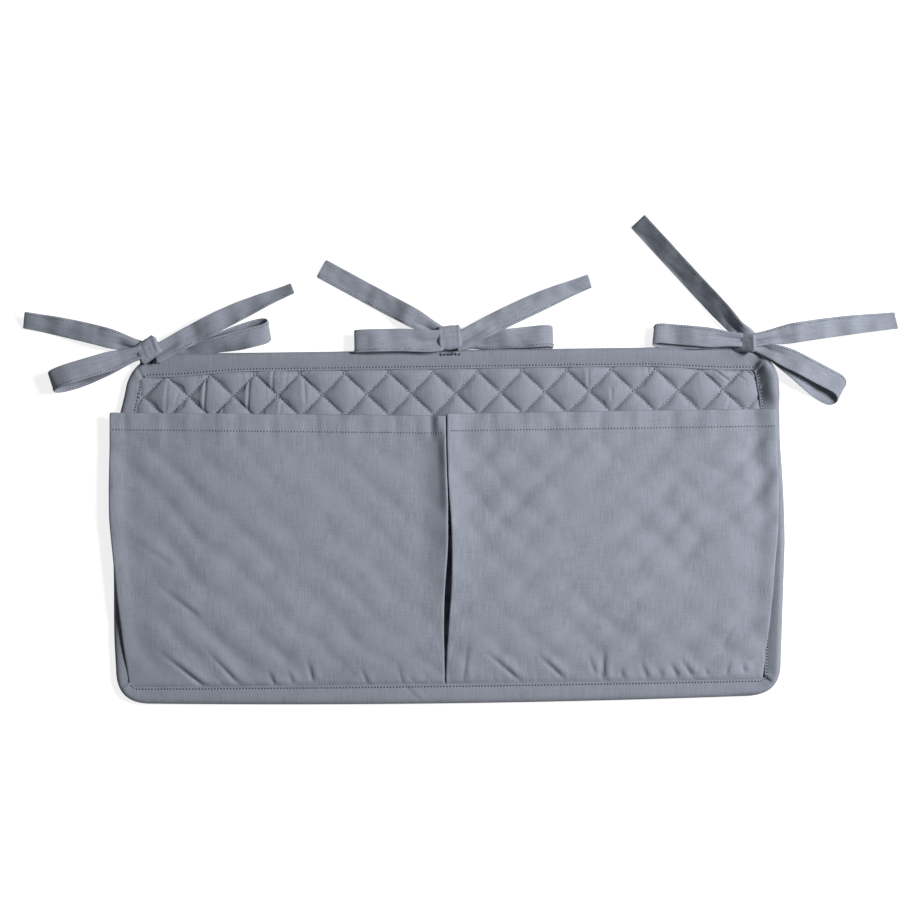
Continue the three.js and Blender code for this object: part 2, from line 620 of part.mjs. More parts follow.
function addTies() {
  const rootCutter = knotPost(KNOT_RADIUS + CLEARANCE);
  const cutRoot = (geometry) => fromManifold(toManifold(geometry).subtract(rootCutter));
  const low = TIE_LEVEL;
  const high = TIE_LEVEL + TIE_LAYER_STEP;
  for (const [name, bow] of Object.entries(BOWS)) {
    const x = (bow.end * PANEL_WIDTH) / 2 + bow.inset;
    const y = TOP_EDGE + bow.rise;
    const place = (geometry) => geometry.translate(x, y, 0);
    addPart(`tie_${name}_knot`, place(knotGeometry(x, y, bow.knotHeight)), cloth);
    addPart(`tie_${name}_left_tail`, place(cutRoot(tailGeometry(bow.left_tail, low))), cloth);
    addPart(`tie_${name}_left_loop`, place(cutRoot(loopGeometry(bow.left_loop, high))), cloth);
    addPart(`tie_${name}_right_loop`, place(cutRoot(loopGeometry(bow.right_loop, low))), cloth);
    const over = high + TIE_LAYER_STEP;
    addPart(`tie_${name}_right_tail`, place(cutRoot(tailGeometry(bow.right_tail, over))), cloth);
    const tack = tackGeometry().translate(x, TOP_EDGE - bow.tackDrop, BINDING_CROWN + CLEARANCE);
    addPart(`bar_tack_${name}`, tack, thread);
  }
}

addPanel();
addPockets();
addTies();

export default parts;
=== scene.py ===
# Crib pocket organizer: quilted panel, bound edge, two pleated pockets and three tied bows
import math

import bmesh
import bpy
from mathutils import Matrix, Vector, noise


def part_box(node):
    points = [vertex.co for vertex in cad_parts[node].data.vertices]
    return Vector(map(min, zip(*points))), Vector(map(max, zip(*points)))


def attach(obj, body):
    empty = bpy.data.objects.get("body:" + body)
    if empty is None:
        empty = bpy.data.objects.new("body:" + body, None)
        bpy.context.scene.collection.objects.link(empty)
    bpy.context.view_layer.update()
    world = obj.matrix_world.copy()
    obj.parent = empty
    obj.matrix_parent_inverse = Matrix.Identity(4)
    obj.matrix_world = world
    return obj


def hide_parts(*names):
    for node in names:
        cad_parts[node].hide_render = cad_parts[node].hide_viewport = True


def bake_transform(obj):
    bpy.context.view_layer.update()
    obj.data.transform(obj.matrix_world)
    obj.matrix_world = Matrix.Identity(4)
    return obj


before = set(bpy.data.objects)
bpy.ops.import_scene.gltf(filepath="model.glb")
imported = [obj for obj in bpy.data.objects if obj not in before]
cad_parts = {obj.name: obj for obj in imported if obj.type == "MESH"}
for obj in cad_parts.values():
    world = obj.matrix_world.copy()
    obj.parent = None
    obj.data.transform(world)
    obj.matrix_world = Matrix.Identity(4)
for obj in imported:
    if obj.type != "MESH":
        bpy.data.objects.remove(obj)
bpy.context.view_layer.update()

bindingLow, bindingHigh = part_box("edge_binding")
topEdge, footEdge = bindingHigh.y, bindingLow.y
panelSide = bindingHigh.x
upward = Vector((0, 0, 1))
millimetre = 0.001
print("frame loaded:", len(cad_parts), "nodes")


def limit(value, low=0.0, high=1.0):
    return min(max(value, low), high)


def smooth(value, start, end):  # 0 at the start, 1 at the end, which may be the lower one
    t = limit((value - start) / (end - start))
    return t * t * (3 - 2 * t)


def mix(a, b, share):
    return a + (b - a) * share


def bell(value, middle, width):
    return math.exp(-((value - middle) / width) ** 2)


def power(value, exponent):  # keeps the sign
    return math.copysign(abs(value) ** exponent, value)


def crowd(value, amount):  # moves steps towards the whole numbers
    return value - amount * math.sin(2 * math.pi * value) / (2 * math.pi)


def wander(x, y, scale, seed):  # slow noise, about -1 to 1
    return noise.noise(Vector((x / scale, y / scale, seed)))


def ripple(wave, x, y, seed):  # wave: height and length
    return wave[0] * wander(x, y, wave[1], seed)


# Shader maths: a Signal is a socket that Python arithmetic combines
class Signal:
    def __init__(self, finish, socket):
        self.finish = finish
        self.socket = socket

    def math(self, operation, first, second):
        return self.finish.add("Math", {"operation": operation}, {0: first, 1: second})

    def __add__(self, other):
        return self.math("ADD", self, other)

    def __sub__(self, other):
        return self.math("SUBTRACT", self, other)

    def __mul__(self, other):
        return self.math("MULTIPLY", self, other)

    def __rsub__(self, other):
        return self.math("SUBTRACT", other, self)

    __radd__ = __add__
    __rmul__ = __mul__


class Finish:
    def __init__(self, owner):  # a material or the world
        self.owner = owner
        self.owner.use_nodes = True
        self.tree = self.owner.node_tree
        self.tree.nodes.clear()

    def add(self, kind, settings, sockets, out=0):  # any node: settings first, then its sockets
        node = self.tree.nodes.new("ShaderNode" + kind)
        for key, value in settings.items():
            setattr(node, key, value)
        for key, value in sockets.items():
            if isinstance(value, Signal):
                self.tree.links.new(value.socket, node.inputs[key])
            else:
                node.inputs[key].default_value = value
        return Signal(self, node.outputs[out]) if node.outputs else None

    def close(self, surface, kind="OutputMaterial"):
        self.add(kind, {}, {"Surface": surface})
        return self.owner


def linear(colour, shade=1.0):  # a colour as seen on screen, to light values
    shares = [c / 255 for c in colour]
    return tuple(shade * (c / 12.92 if c < 0.043 else ((c + 0.055) / 1.055) ** 2.4) for c in shares) + (1.0,)


def grey(value):
    return (value, value, value, 1.0)


def mixColours(finish, share, first, second):
    return finish.add("Mix", {"data_type": "RGBA"}, {"Factor": share, 6: first, 7: second}, out=2)


def clothNoise(finish, place, scale, detail, roughness):
    return finish.add("TexNoise", {"noise_dimensions": "2D"},
                      {"Vector": place, "Scale": scale, "Detail": detail, "Roughness": roughness})


def remap(finish, value, span, low=0.0, high=1.0):
    return finish.add("MapRange", {}, {"Value": value, "From Min": span[0], "From Max": span[1],
                                       "To Min": low, "To Max": high})


# Cotton: plain weave with slubs along both threads, which fade in places
cotton = {
    "colour": (143, 148, 160), "slubDark": (122, 127, 139), "threadPitch": 0.00046, "slubLength": 0.016,
    "slubWidth": 0.0011, "slubRoughness": 0.6, "slubSpan": (0.36, 0.62), "grain": 0.0012,
    "warpShare": 0.46, "weftShare": 0.20, "grainShare": 0.34,
    "fadeNoise": (38.0, 3.0, 0.55),  # scale, detail, roughness
    "fadeSpan": (0.35, 0.70), "fade": 0.6, "weaveDepth": 0.00003, "slubDepth": 0.00012, "bump": 0.55,
    "roughness": 0.95, "slubShine": 0.12, "sheen": 0.03, "specular": 0.25,
}


# shade darkens the cloth's colour: painted shade, for darker copies of the one cotton
def clothFinish(name, shade=1.0, streak=1.0, source="UV"):
    finish = Finish(bpy.data.materials.new(name))
    place = finish.add("TexCoord", {}, {}, out=source)
    thin, long = 1 / cotton["slubWidth"], 1 / cotton["slubLength"]
    rough = cotton["slubRoughness"]
    slub = clothNoise(finish, place, 1 / cotton["grain"], 1.0, rough) * cotton["grainShare"]
    for share, scale in (("warpShare", (thin, long, 1)), ("weftShare", (long, thin, 1))):
        stretched = finish.add("Mapping", {}, {"Vector": place, "Scale": scale})
        slub = slub + clothNoise(finish, stretched, 1.0, 2.0, rough) * cotton[share]
    tone = remap(finish, slub, cotton["slubSpan"], low=1 - streak)
    fade = remap(finish, clothNoise(finish, place, *cotton["fadeNoise"]), cotton["fadeSpan"])
    plain = linear(cotton["colour"], shade)
    slubbed = mixColours(finish, tone, linear(cotton["slubDark"], shade), plain)
    colour = mixColours(finish, fade * cotton["fade"], slubbed, plain)
    height = slub * cotton["slubDepth"]
    weave = cotton["weaveDepth"]
    for axis in "XY":
        across = finish.add("SeparateXYZ", {}, {"Vector": place}, out=axis)
        turns = across * (2 * math.pi / cotton["threadPitch"])
        weave = finish.add("Math", {"operation": "SINE"}, {0: turns}) * weave
    bump = finish.add("Bump", {}, {"Strength": cotton["bump"], "Distance": 1.0, "Height": weave + height})
    return finish.close(finish.add("BsdfPrincipled", {}, {
        "Base Color": colour, "Roughness": cotton["roughness"] - slub * cotton["slubShine"], "Normal": bump,
        "Sheen Weight": cotton["sheen"], "Sheen Roughness": 0.5, "Specular IOR Level": cotton["specular"],
    }))


thread = {"mottle": 900.0, "bump": 0.3, "depth": 0.0002, "specular": 0.3}


def threadFinish(name, colour, spread, roughness):  # thread, and the dark marks set in each needle hole, whose colour is painted shade; mottled
    finish = Finish(bpy.data.materials.new(name))
    place = finish.add("TexCoord", {}, {}, out="Object")
    grain = finish.add("TexNoise", {}, {"Vector": place, "Scale": thread["mottle"], "Detail": 2.0})
    tone = mixColours(finish, grain, linear(colour, 1 - spread), linear(colour, 1 + spread))
    bump = finish.add("Bump", {}, {"Strength": thread["bump"], "Distance": thread["depth"], "Height": grain})
    return finish.close(finish.add("BsdfPrincipled", {}, {
        "Base Color": tone, "Roughness": roughness, "Normal": bump, "Specular IOR Level": thread["specular"],
    }))


straightCotton = clothFinish("straight cotton")
# The quilt and the binding are darker copies of the same cotton: their shade factor is painted shade
shadedQuiltCotton = clothFinish("quilted cotton with painted shade", shade=0.94, source="Object")
shadedBiasCotton = clothFinish("binding cotton with painted shade", shade=0.88, streak=0.9, source="Object")
tieCotton = clothFinish("tie cotton", streak=0.8)
seamThread = threadFinish("seam thread", (156, 161, 173), 0.12, 0.75)
# The dark marks in each needle hole of seams and hems: their colour is painted shade
seamHoleShade = threadFinish("needle hole painted shade", (58, 62, 71), 0.1, 0.95)
hemHoleShade = threadFinish("hem hole painted shade", (84, 88, 98), 0.1, 0.95)
tackThread = threadFinish("bar tack thread", (58, 62, 72), 0.25, 0.75)
print("finishes made")


def addObject(name, data):
    thing = bpy.data.objects.new(name, data)
    bpy.context.scene.collection.objects.link(thing)
    return thing


def newPiece(name, bm, materials, body):  # without a body for the quilt front, which gets one later, and for the pleats, which get none
    mesh = bpy.data.meshes.new(name)
    bm.to_mesh(mesh)
    bm.free()
    for material in materials:
        mesh.materials.append(material)
    mesh.shade_smooth()
    piece = addObject(name, mesh)
    if body:
        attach(piece, body)
    return piece


def clothGrid(bm, columns, rows, place, cut, weld=False, dense=0.0):
    # place(a, b) with a and b from 0 to 1; dense: how much closer the rows lie at both ends
    sheet = bmesh.ops.create_grid(bm, x_segments=columns, y_segments=rows, size=0.5)["verts"]
    layer = bm.loops.layers.uv.verify()
    params = {vert: (vert.co.x + 0.5, crowd(vert.co.y + 0.5, dense)) for vert in sheet}
    faces = {face for vert in sheet for face in vert.link_faces}
    for face in faces:
        for loop in face.loops:
            a, b = params[loop.vert]
            loop[layer].uv = (a * cut[0], b * cut[1])
    for vert, (a, b) in params.items():
        vert.co = place(a, b)
    if weld:
        bmesh.ops.remove_doubles(bm, verts=sheet, dist=1e-6)


def thicken(piece, thickness, offset=0.0, softness=0):
    solid = piece.modifiers.new("thickness", "SOLIDIFY")
    solid.thickness = thickness
    solid.offset = offset
    if softness:
        soften = piece.modifiers.new("soft edges", "SUBSURF")
        soften.levels = soften.render_levels = softness


# Stitches: pitch, share of it that the thread takes, thread's width and height, length of a needle hole's
# dark mark, whose colour is painted shade
stitch = {"sides": 6, "rings": 4, "holeShadeWidth": 1.3, "holeShadeHeight": 0.8}
seams = {
    "tie": {"pitch": 0.0027, "share": 0.5, "width": 0.0007, "height": 0.0005, "hole": 0.0014},
    "hem": {"pitch": 0.0027, "share": 0.6, "width": 0.0012, "height": 0.0008, "hole": 0.0013},
    "binding": {"pitch": 0.0028, "share": 0.5, "width": 0.0013, "height": 0.0008, "hole": 0.0018},
    "quilting": {"pitch": 0.0031, "share": 0.5, "width": 0.0008, "height": 0.0006, "hole": 0.0016},
}
stitchShapes = []  # a thread and a needle hole's dark mark of painted shade, set down again and again
for material in range(2):
    bm = bmesh.new()
    bmesh.ops.create_uvsphere(bm, u_segments=stitch["sides"], v_segments=stitch["rings"], radius=0.5)
    for face in bm.faces:
        face.material_index = material
        face.smooth = True
    stitchShapes.append(bpy.data.meshes.new(f"stitch shape {material}"))
    bm.to_mesh(stitchShapes[material])
    bm.free()


def addStitch(bm, middle, along, up, size, material=0):  # size: length, width, height
    along = along.normalized()
    across = up.cross(along).normalized()
    turn = Matrix((along, across, along.cross(across))).transposed().to_4x4()
    lay = Matrix.Translation(middle) @ turn @ Matrix.Diagonal((*size, 1))
    shape = stitchShapes[material]
    shape.transform(lay)
    bm.from_mesh(shape, face_normals=False, vertex_normals=False)
    shape.transform(lay.inverted())


def runStitches(bm, path, seam):  # path: (point, up) pairs close together
    pitch, width, height = seam["pitch"], seam["width"], seam["height"]
    threadSize = (pitch * seam["share"], width, height)
    holeShadeSize = (seam["hole"], width * stitch["holeShadeWidth"], height * stitch["holeShadeHeight"])
    travelled = 0.0
    wanted = pitch / 2
    for (start, up), (end, _) in zip(path, path[1:]):
        along = end - start
        step = along.length
        while step > 1e-9 and travelled + step >= wanted:
            middle = start.lerp(end, (wanted - travelled) / step)
            addStitch(bm, middle, along, up, threadSize)
            # the dark mark after each thread is painted shade in the needle hole
            addStitch(bm, middle + along.normalized() * pitch / 2, along, up, holeShadeSize, material=1)
            wanted += pitch
        travelled += step


# Outline of the panel: share 0 is the outer edge, 1 the inner edge of the binding
panel = {
    "shoulderInset": 0.0095, "footInset": 0.005, "widestLevel": -0.020, "swellLevel": 0.060,
    "cornerReach": (0.042, 0.005),  # these four at the outer and the inner edge
    "cornerDrop": (0.028, 0.004), "cornerLean": (0.008, 0.001), "footCorner": (0.030, 0.004),
    "bindingTop": 0.0168, "bindingSide": 0.015, "bindingFoot": 0.0148, "cornerWiden": 0.0045,
    "widenAt": (0.17, 0.26), "footBow": 0.0034,
    "footBowInner": 0.8,  # share of it that the inner edge lacks
    "footBowReach": 0.275, "nearEdge": 0.02, "leftShoulder": 0.0045, "leftShoulderAt": (0.085, 0.130),
    "rightShoulder": 0.0050, "rightShoulderAt": (0.06, 0.135), "leftFoot": 0.0035,
    "leftFootAt": (-0.02, -0.11), "sidesAt": (0.20, 0.27), "step": 0.0018,
    "runs": (panelSide - 0.035, 0.047, 0.106, 0.149, 0.055, panelSide - 0.0515),  # rough lengths
}


def halfOutline(share):  # right half, from the middle of the foot to the middle of the top
    corners = ("cornerReach", "cornerDrop", "cornerLean", "footCorner")
    reach, drop, lean, corner = (mix(*panel[key], share) for key in corners)
    top = topEdge - share * panel["bindingTop"]
    foot = footEdge + share * panel["bindingFoot"]
    side = panelSide - share * panel["bindingSide"]
    shoulder = side - panel["shoulderInset"]
    footSide = side - panel["footInset"]
    bow = panel["footBow"] * (1 - panel["footBowInner"] * share)
    stations = [  # a point, and the control point of the curve that starts there
        ((0, foot), None),
        ((footSide - corner, foot), (footSide, foot)),
        ((footSide, foot + corner), None),
        ((side, panel["widestLevel"]), (side, panel["swellLevel"])),
        ((shoulder, top - drop), (shoulder - lean, top)),
        ((shoulder - reach, top), None),
        ((0, top), None),
    ]
    points = []
    for (start, control), (end, _), length in zip(stations, stations[1:], panel["runs"]):
        count = round(length / panel["step"])
        first, last = Vector(start), Vector(end)
        middle = Vector(control) if control else (first + last) / 2
        for i in range(count):
            t = i / count
            spot = first * (1 - t) ** 2 + middle * 2 * t * (1 - t) + last * t ** 2
            if spot.y > top - panel["nearEdge"]:  # the binding is wider towards the top corners
                spot.y -= panel["cornerWiden"] * share * smooth(spot.x, *panel["widenAt"])
            if spot.y < foot + panel["nearEdge"]:  # the foot hangs a little lower in the middle
                spot.y -= bow * max(1 - (spot.x / panel["footBowReach"]) ** 2, 0)
            points.append(spot)
    points.append(Vector(stations[-1][0]))
    return points


def wholeOutline(share):
    right = halfOutline(share)
    left = []
    for spot in right:
        beside = smooth(spot.x, *panel["sidesAt"])
        narrow = panel["leftShoulder"] * smooth(spot.y, *panel["leftShoulderAt"]) * beside
        full = panel["leftFoot"] * smooth(spot.y, *panel["leftFootAt"]) * beside
        left.append(Vector((narrow - full - spot.x, spot.y)))
        spot.x += panel["rightShoulder"] * (1 - share) * smooth(spot.y, *panel["rightShoulderAt"]) * beside
    return right + left[-2:0:-1]


def halfWidth(outline, y):  # half the panel's width at a height
    for low, high in zip(outline, outline[1:]):
        if low.y <= y <= high.y and high.y > low.y:
            return mix(low.x, high.x, (y - low.y) / (high.y - low.y))
    return 0.0


levelSteps = 400
outerHalf = halfOutline(0.0)
edgeTable = [halfWidth(outerHalf, mix(footEdge, topEdge, i / levelSteps)) for i in range(levelSteps + 1)]


def widthAt(y):  # the same from the table
    place = (y - footEdge) / (topEdge - footEdge) * levelSteps
    low = int(limit(place, 0, levelSteps - 1))
    return mix(edgeTable[low], edgeTable[low + 1], limit(place - low))


def fromEdge(x, y):  # about how far inside the panel's edge
    return min(topEdge - y, y - footEdge, widthAt(y) - abs(x))


def fromBinding(x, y):  # about how far inside the binding's inner edge
    top = topEdge - panel["bindingTop"] - panel["cornerWiden"] * smooth(abs(x), *panel["widenAt"])
    return min(top - y, y - footEdge - panel["bindingFoot"], widthAt(y) - panel["bindingSide"] - abs(x))


# Diamond quilting
quilting = {
    "width": 0.0397, "height": 0.0382,
    "lineGap": 0.69,  # between two lines, as a share of the width
    "crossX": 0.0074, "crossBelowTop": 0.0386, "crowd": 0.6, "first": (-15, -9), "count": 24,
}


def quiltPhase(x, y):  # whole numbers on the two families of stitched lines
    across = (x - quilting["crossX"]) / quilting["width"]
    up = (y - topEdge + quilting["crossBelowTop"]) / quilting["height"]
    return across + up, across - up


def quiltPlace(u, v):
    x = quilting["crossX"] + quilting["width"] * (u + v) / 2
    y = topEdge - quilting["crossBelowTop"] + quilting["height"] * (u - v) / 2
    return x, y


def puffAt(x, y):  # 0 on a stitched line, 1 in the middle of a diamond
    u, v = quiltPhase(x, y)
    return abs(math.sin(math.pi * u) * math.sin(math.pi * v))


def offLine(x, y):  # from the nearest stitched line, as a share of the gap between two
    return min(abs(phase - round(phase)) for phase in quiltPhase(x, y))


def quiltSheet(bm, steps, tuck, height):  # a grid that runs along the stitched lines
    count = quilting["count"]

    def place(a, b):  # more rows beside the stitched lines than in the middle of a diamond
        u, v = (crowd(first + t * count, quilting["crowd"]) for first, t in zip(quilting["first"], (a, b)))
        return Vector((*quiltPlace(u, v), 0))

    size = quilting["width"] * count / math.sqrt(2)
    clothGrid(bm, count * steps, count * steps, place, (size, size))
    outside = [vert for vert in bm.verts if fromEdge(vert.co.x, vert.co.y) < tuck]
    bmesh.ops.delete(bm, geom=outside, context="VERTS")
    loose = [vert for vert in bm.verts if not vert.link_faces]
    bmesh.ops.delete(bm, geom=loose, context="VERTS")
    for vert in bm.verts:
        vert.co.z = height(vert.co.x, vert.co.y)
    for face in bm.faces:
        if face.normal.z == 0:
            face.normal_update()
    if sum(face.normal.z for face in bm.faces) < 0:
        bmesh.ops.reverse_faces(bm, faces=bm.faces)


# Creases are rows of two points, a depth and the share of it that stands up as a lip beside the crease
crease = {"reach": 0.012, "starts": -0.25, "ends": (1.25, 0.85), "lipAt": -2.4, "lipWidth": 1.7}


def creaseAt(creases, x, y, width=0.0013, lead=0.15):
    drop = 0.0
    for x0, y0, x1, y1, depth, lip in creases:
        away = Vector((x - x0, y - y0))
        run = Vector((x1 - x0, y1 - y0))
        along = away.dot(run) / run.length_squared
        beside = away.cross(run) / run.length
        if abs(beside) < crease["reach"]:
            ends = smooth(along, crease["starts"], lead) * smooth(along, *crease["ends"])
            stands = lip * bell(beside, crease["lipAt"] * width, crease["lipWidth"] * width)
            drop += ends * depth * (stands - bell(beside, 0, width))
    return drop


# Pockets: the heights and edges that their cloth takes over the quilt
pocket = {
    "seam": footEdge + 0.0143, "seamHeight": 0.0069, "plateau": 0.0154, "riseLength": 0.070, "risePower": 2.2,
    "footLean": 0.014, "leanLevel": 0.010, "leanPower": 1.5, "swell": 0.0018, "swellAt": (0.025, 0.045),
    "slitX": -0.0007, "slitLean": 0.0042, "slitBow": 0.0037, "slitBowAt": (-0.015, 0.06), "slitGap": 0.0030,
    "footGap": 0.4, "footGapReach": 0.05, "openGap": 0.0026, "openAt": (-0.058, 0.035), "closeGap": 0.0018,
    "closeAt": (-0.005, 0.035),
}
pocketPlans = {
    "left": {
        "side": -1, "width": 0.300, "outerDrop": 0.052, "innerDrop": 0.059, "seed": 3.0,
        "slitRoll": 0.0072, "slitDip": 0.0034, "slitValley": 0.0003, "sideDent": 0.0008, "fall": 0.0026,
        "bands": 1.0, "diamonds": 0.5, "calm": 0.5, "slant": 0.9, "ruck": 0.0028, "hemFold": 0.0022,
        "creases": [
            (-0.2841, -0.0083, -0.2473, -0.032, 0.0008, 0.5),
            (-0.2623, -0.0487, -0.227, -0.0759, 0.0012, 0.6),
            (-0.2587, -0.1097, -0.2228, -0.1393, 0.0019, 0.7),
            (-0.2171, -0.1087, -0.193, -0.1358, 0.0013, 0.6),
            (-0.1623, -0.1273, -0.158, -0.1395, 0.0012, 0.6),
            (-0.1274, -0.1174, -0.1235, -0.1358, 0.0013, 0.7),
            (-0.146, -0.126, -0.1417, -0.1386, 0.0009, 0.6),
            (-0.0806, -0.1254, -0.0748, -0.1394, 0.001, 0.6),
            (-0.3014, 0.0359, -0.2812, 0.0345, 0.0009, 0.5),
            (-0.0478, -0.1214, -0.0436, -0.1393, 0.0008, 0.5),
        ],
    },
    "right": {
        "side": 1, "width": 0.292, "outerDrop": 0.0565, "innerDrop": 0.057, "seed": 11.0,
        "slitRoll": 0.0056, "slitDip": 0.0, "slitValley": 0.0002, "sideDent": 0.0030, "fall": -0.0012,
        "bands": 0.75, "diamonds": 1.9, "calm": 1.0, "slant": 0.15, "ruck": 0.0056, "hemFold": 0.0006,
        "creases": [
            (0.0164, -0.0984, 0.0115, -0.1355, 0.0009, 0.7),
            (0.0296, -0.112, 0.0584, -0.137, 0.0016, 0.7),
            (0.0771, -0.1156, 0.0982, -0.1358, 0.0018, 0.7),
            (0.1217, -0.1147, 0.128, -0.1326, 0.001, 0.6),
            (0.1366, -0.1134, 0.1354, -0.1368, 0.0018, 0.8),
            (0.1512, -0.1284, 0.1526, -0.1374, 0.0011, 0.6),
            (0.1691, -0.1242, 0.1749, -0.1377, 0.0013, 0.7),
            (0.1854, -0.1289, 0.1883, -0.1378, 0.0009, 0.6),
            (0.1944, -0.1245, 0.2022, -0.1371, 0.0013, 0.7),
            (0.2063, -0.1232, 0.2141, -0.1361, 0.0016, 0.7),
            (0.2255, -0.1279, 0.2284, -0.1363, 0.0009, 0.6),
            (0.2494, -0.1223, 0.2457, -0.1341, 0.0012, 0.6),
            (0.2598, -0.1254, 0.2617, -0.1337, 0.0012, 0.7),
            (0.2573, -0.0867, 0.2437, -0.1059, 0.0012, 0.5),
        ],
    },
}


def pocketRise(y):
    share = limit((y - pocket["seam"]) / pocket["riseLength"])
    return mix(pocket["seamHeight"], pocket["plateau"], 1 - (1 - share) ** pocket["risePower"])


def innerEdge(plan, y):
    mouth = topEdge - plan["innerDrop"]
    above = smooth(y - pocket["seam"], 0, pocket["footGapReach"])
    gap = pocket["slitGap"] * mix(pocket["footGap"], 1.0, above)
    gap += pocket["openGap"] * bell(y, *pocket["openAt"]) - pocket["closeGap"] * smooth(y, *pocket["closeAt"])
    bow = pocket["slitBow"] * bell(y, *pocket["slitBowAt"])
    lean = pocket["slitLean"] * (mouth - y) / (mouth - pocket["seam"])
    return pocket["slitX"] + bow - lean + plan["side"] * gap / 2


def outerEdge(plan, y):
    lean = max(pocket["leanLevel"] - y, 0) / (pocket["leanLevel"] - pocket["seam"])
    swell = pocket["swell"] * bell(y, *pocket["swellAt"])
    return plan["side"] * (plan["width"] + swell - pocket["footLean"] * lean ** pocket["leanPower"])


# Quilt front: cloth blown up between the stitched lines by a short simulation
quiltFront = {
    "steps": 12, "channel": 0.0063, "start": 0.0038, "startPower": 0.70, "freeAt": (-0.002, 0.005),
    "ripple": (0.0002, 0.006), "groove": 0.0007, "grooveWidth": 0.0011,
    "sewn": 0.15,  # of a step
    "sewnEdge": -0.001,
    "cap": 0.0012,  # the most that the simulation moves a point
    "quickRise": 0.3, "quickPower": 0.6, "quickFreeAt": (-0.002, 0.008), "frames": 22, "tuckWidth": 0.0011,
    "tuckFade": 0.25, "tuckMargin": (0.007, 0.006), "pocketsTop": 0.09, "pocketRoom": 0.0012,
    "pressed": 0.0006, "under": 0.0035, "edge": 0.0055,
}
quiltCloth = {
    "quality": 5, "mass": 0.15, "tension_stiffness": 12, "compression_stiffness": 12, "shear_stiffness": 4,
    "bending_stiffness": 0.4, "vertex_group_mass": "sewn", "use_pressure": True,
    "uniform_pressure_force": 1.5, "shrink_min": -0.010,
}
quiltCreases = [  # tucks in the strip above the pockets
    (-0.2510, 0.104, -0.2490, 0.128, 0.0007, 0.3), (-0.2425, 0.110, -0.2385, 0.124, 0.0006, 0.3),
    (-0.2168, 0.106, -0.2140, 0.139, 0.0015, 0.4), (-0.1780, 0.102, -0.1755, 0.138, 0.0013, 0.4),
    (-0.1262, 0.112, -0.1275, 0.138, 0.0010, 0.4), (-0.1560, 0.120, -0.1545, 0.139, 0.0008, 0.4),
    (-0.1495, 0.094, -0.1475, 0.112, 0.0008, 0.4), (-0.1660, 0.094, -0.1630, 0.106, 0.0007, 0.4),
    (-0.2010, 0.094, -0.1995, 0.106, 0.0007, 0.3), (-0.1440, 0.126, -0.1420, 0.139, 0.0006, 0.3),
    (0.1265, 0.122, 0.1260, 0.139, 0.0007, 0.4), (0.1470, 0.110, 0.1465, 0.120, 0.0007, 0.4),
    (0.1800, 0.128, 0.1795, 0.139, 0.0006, 0.3), (0.2367, 0.1367, 0.2527, 0.1241, 0.0011, 0.4),
    (0.2560, 0.1330, 0.2660, 0.1255, 0.0008, 0.4), (-0.2640, 0.1330, -0.2500, 0.1345, 0.0007, 0.3),
    (0.2480, 0.0960, 0.2530, 0.1100, 0.0008, 0.4),
]


def nearTuck(spot):
    marginX, marginY = quiltFront["tuckMargin"]
    return any(min(x0, x1) - marginX < spot.x < max(x0, x1) + marginX
               and min(y0, y1) - marginY < spot.y < max(y0, y1) + marginY
               for x0, y0, x1, y1, _, _ in quiltCreases)


def blowUp(piece, pinned):
    group = piece.vertex_groups.new(name=quiltCloth["vertex_group_mass"])
    group.add(pinned, 1.0, "REPLACE")
    cloth = piece.modifiers.new("cloth", "CLOTH")
    for key, value in quiltCloth.items():
        setattr(cloth.settings, key, value)
    cloth.settings.effector_weights.gravity = 0
    cloth.collision_settings.use_collision = False
    cloth.point_cache.frame_end = quiltFront["frames"]
    scene = bpy.context.scene
    for step in range(1, quiltFront["frames"] + 1):
        scene.frame_set(step)
    swollen = bpy.data.meshes.new_from_object(piece.evaluated_get(bpy.context.evaluated_depsgraph_get()))
    places = [vert.co.copy() for vert in swollen.vertices]
    bpy.data.meshes.remove(swollen)
    piece.modifiers.remove(cloth)
    piece.vertex_groups.clear()
    scene.frame_set(1)
    return places


def startHeight(x, y):
    free = smooth(fromBinding(x, y), *quiltFront["freeAt"])
    away = offLine(x, y) * quilting["width"] * quilting["lineGap"]
    groove = quiltFront["groove"] * bell(away, 0, quiltFront["grooveWidth"])
    puff = puffAt(x, y)
    swell = quiltFront["start"] * puff ** quiltFront["startPower"]
    swell += ripple(quiltFront["ripple"], x, y, 1.0) * puff
    return quiltFront["channel"] - groove + free * swell


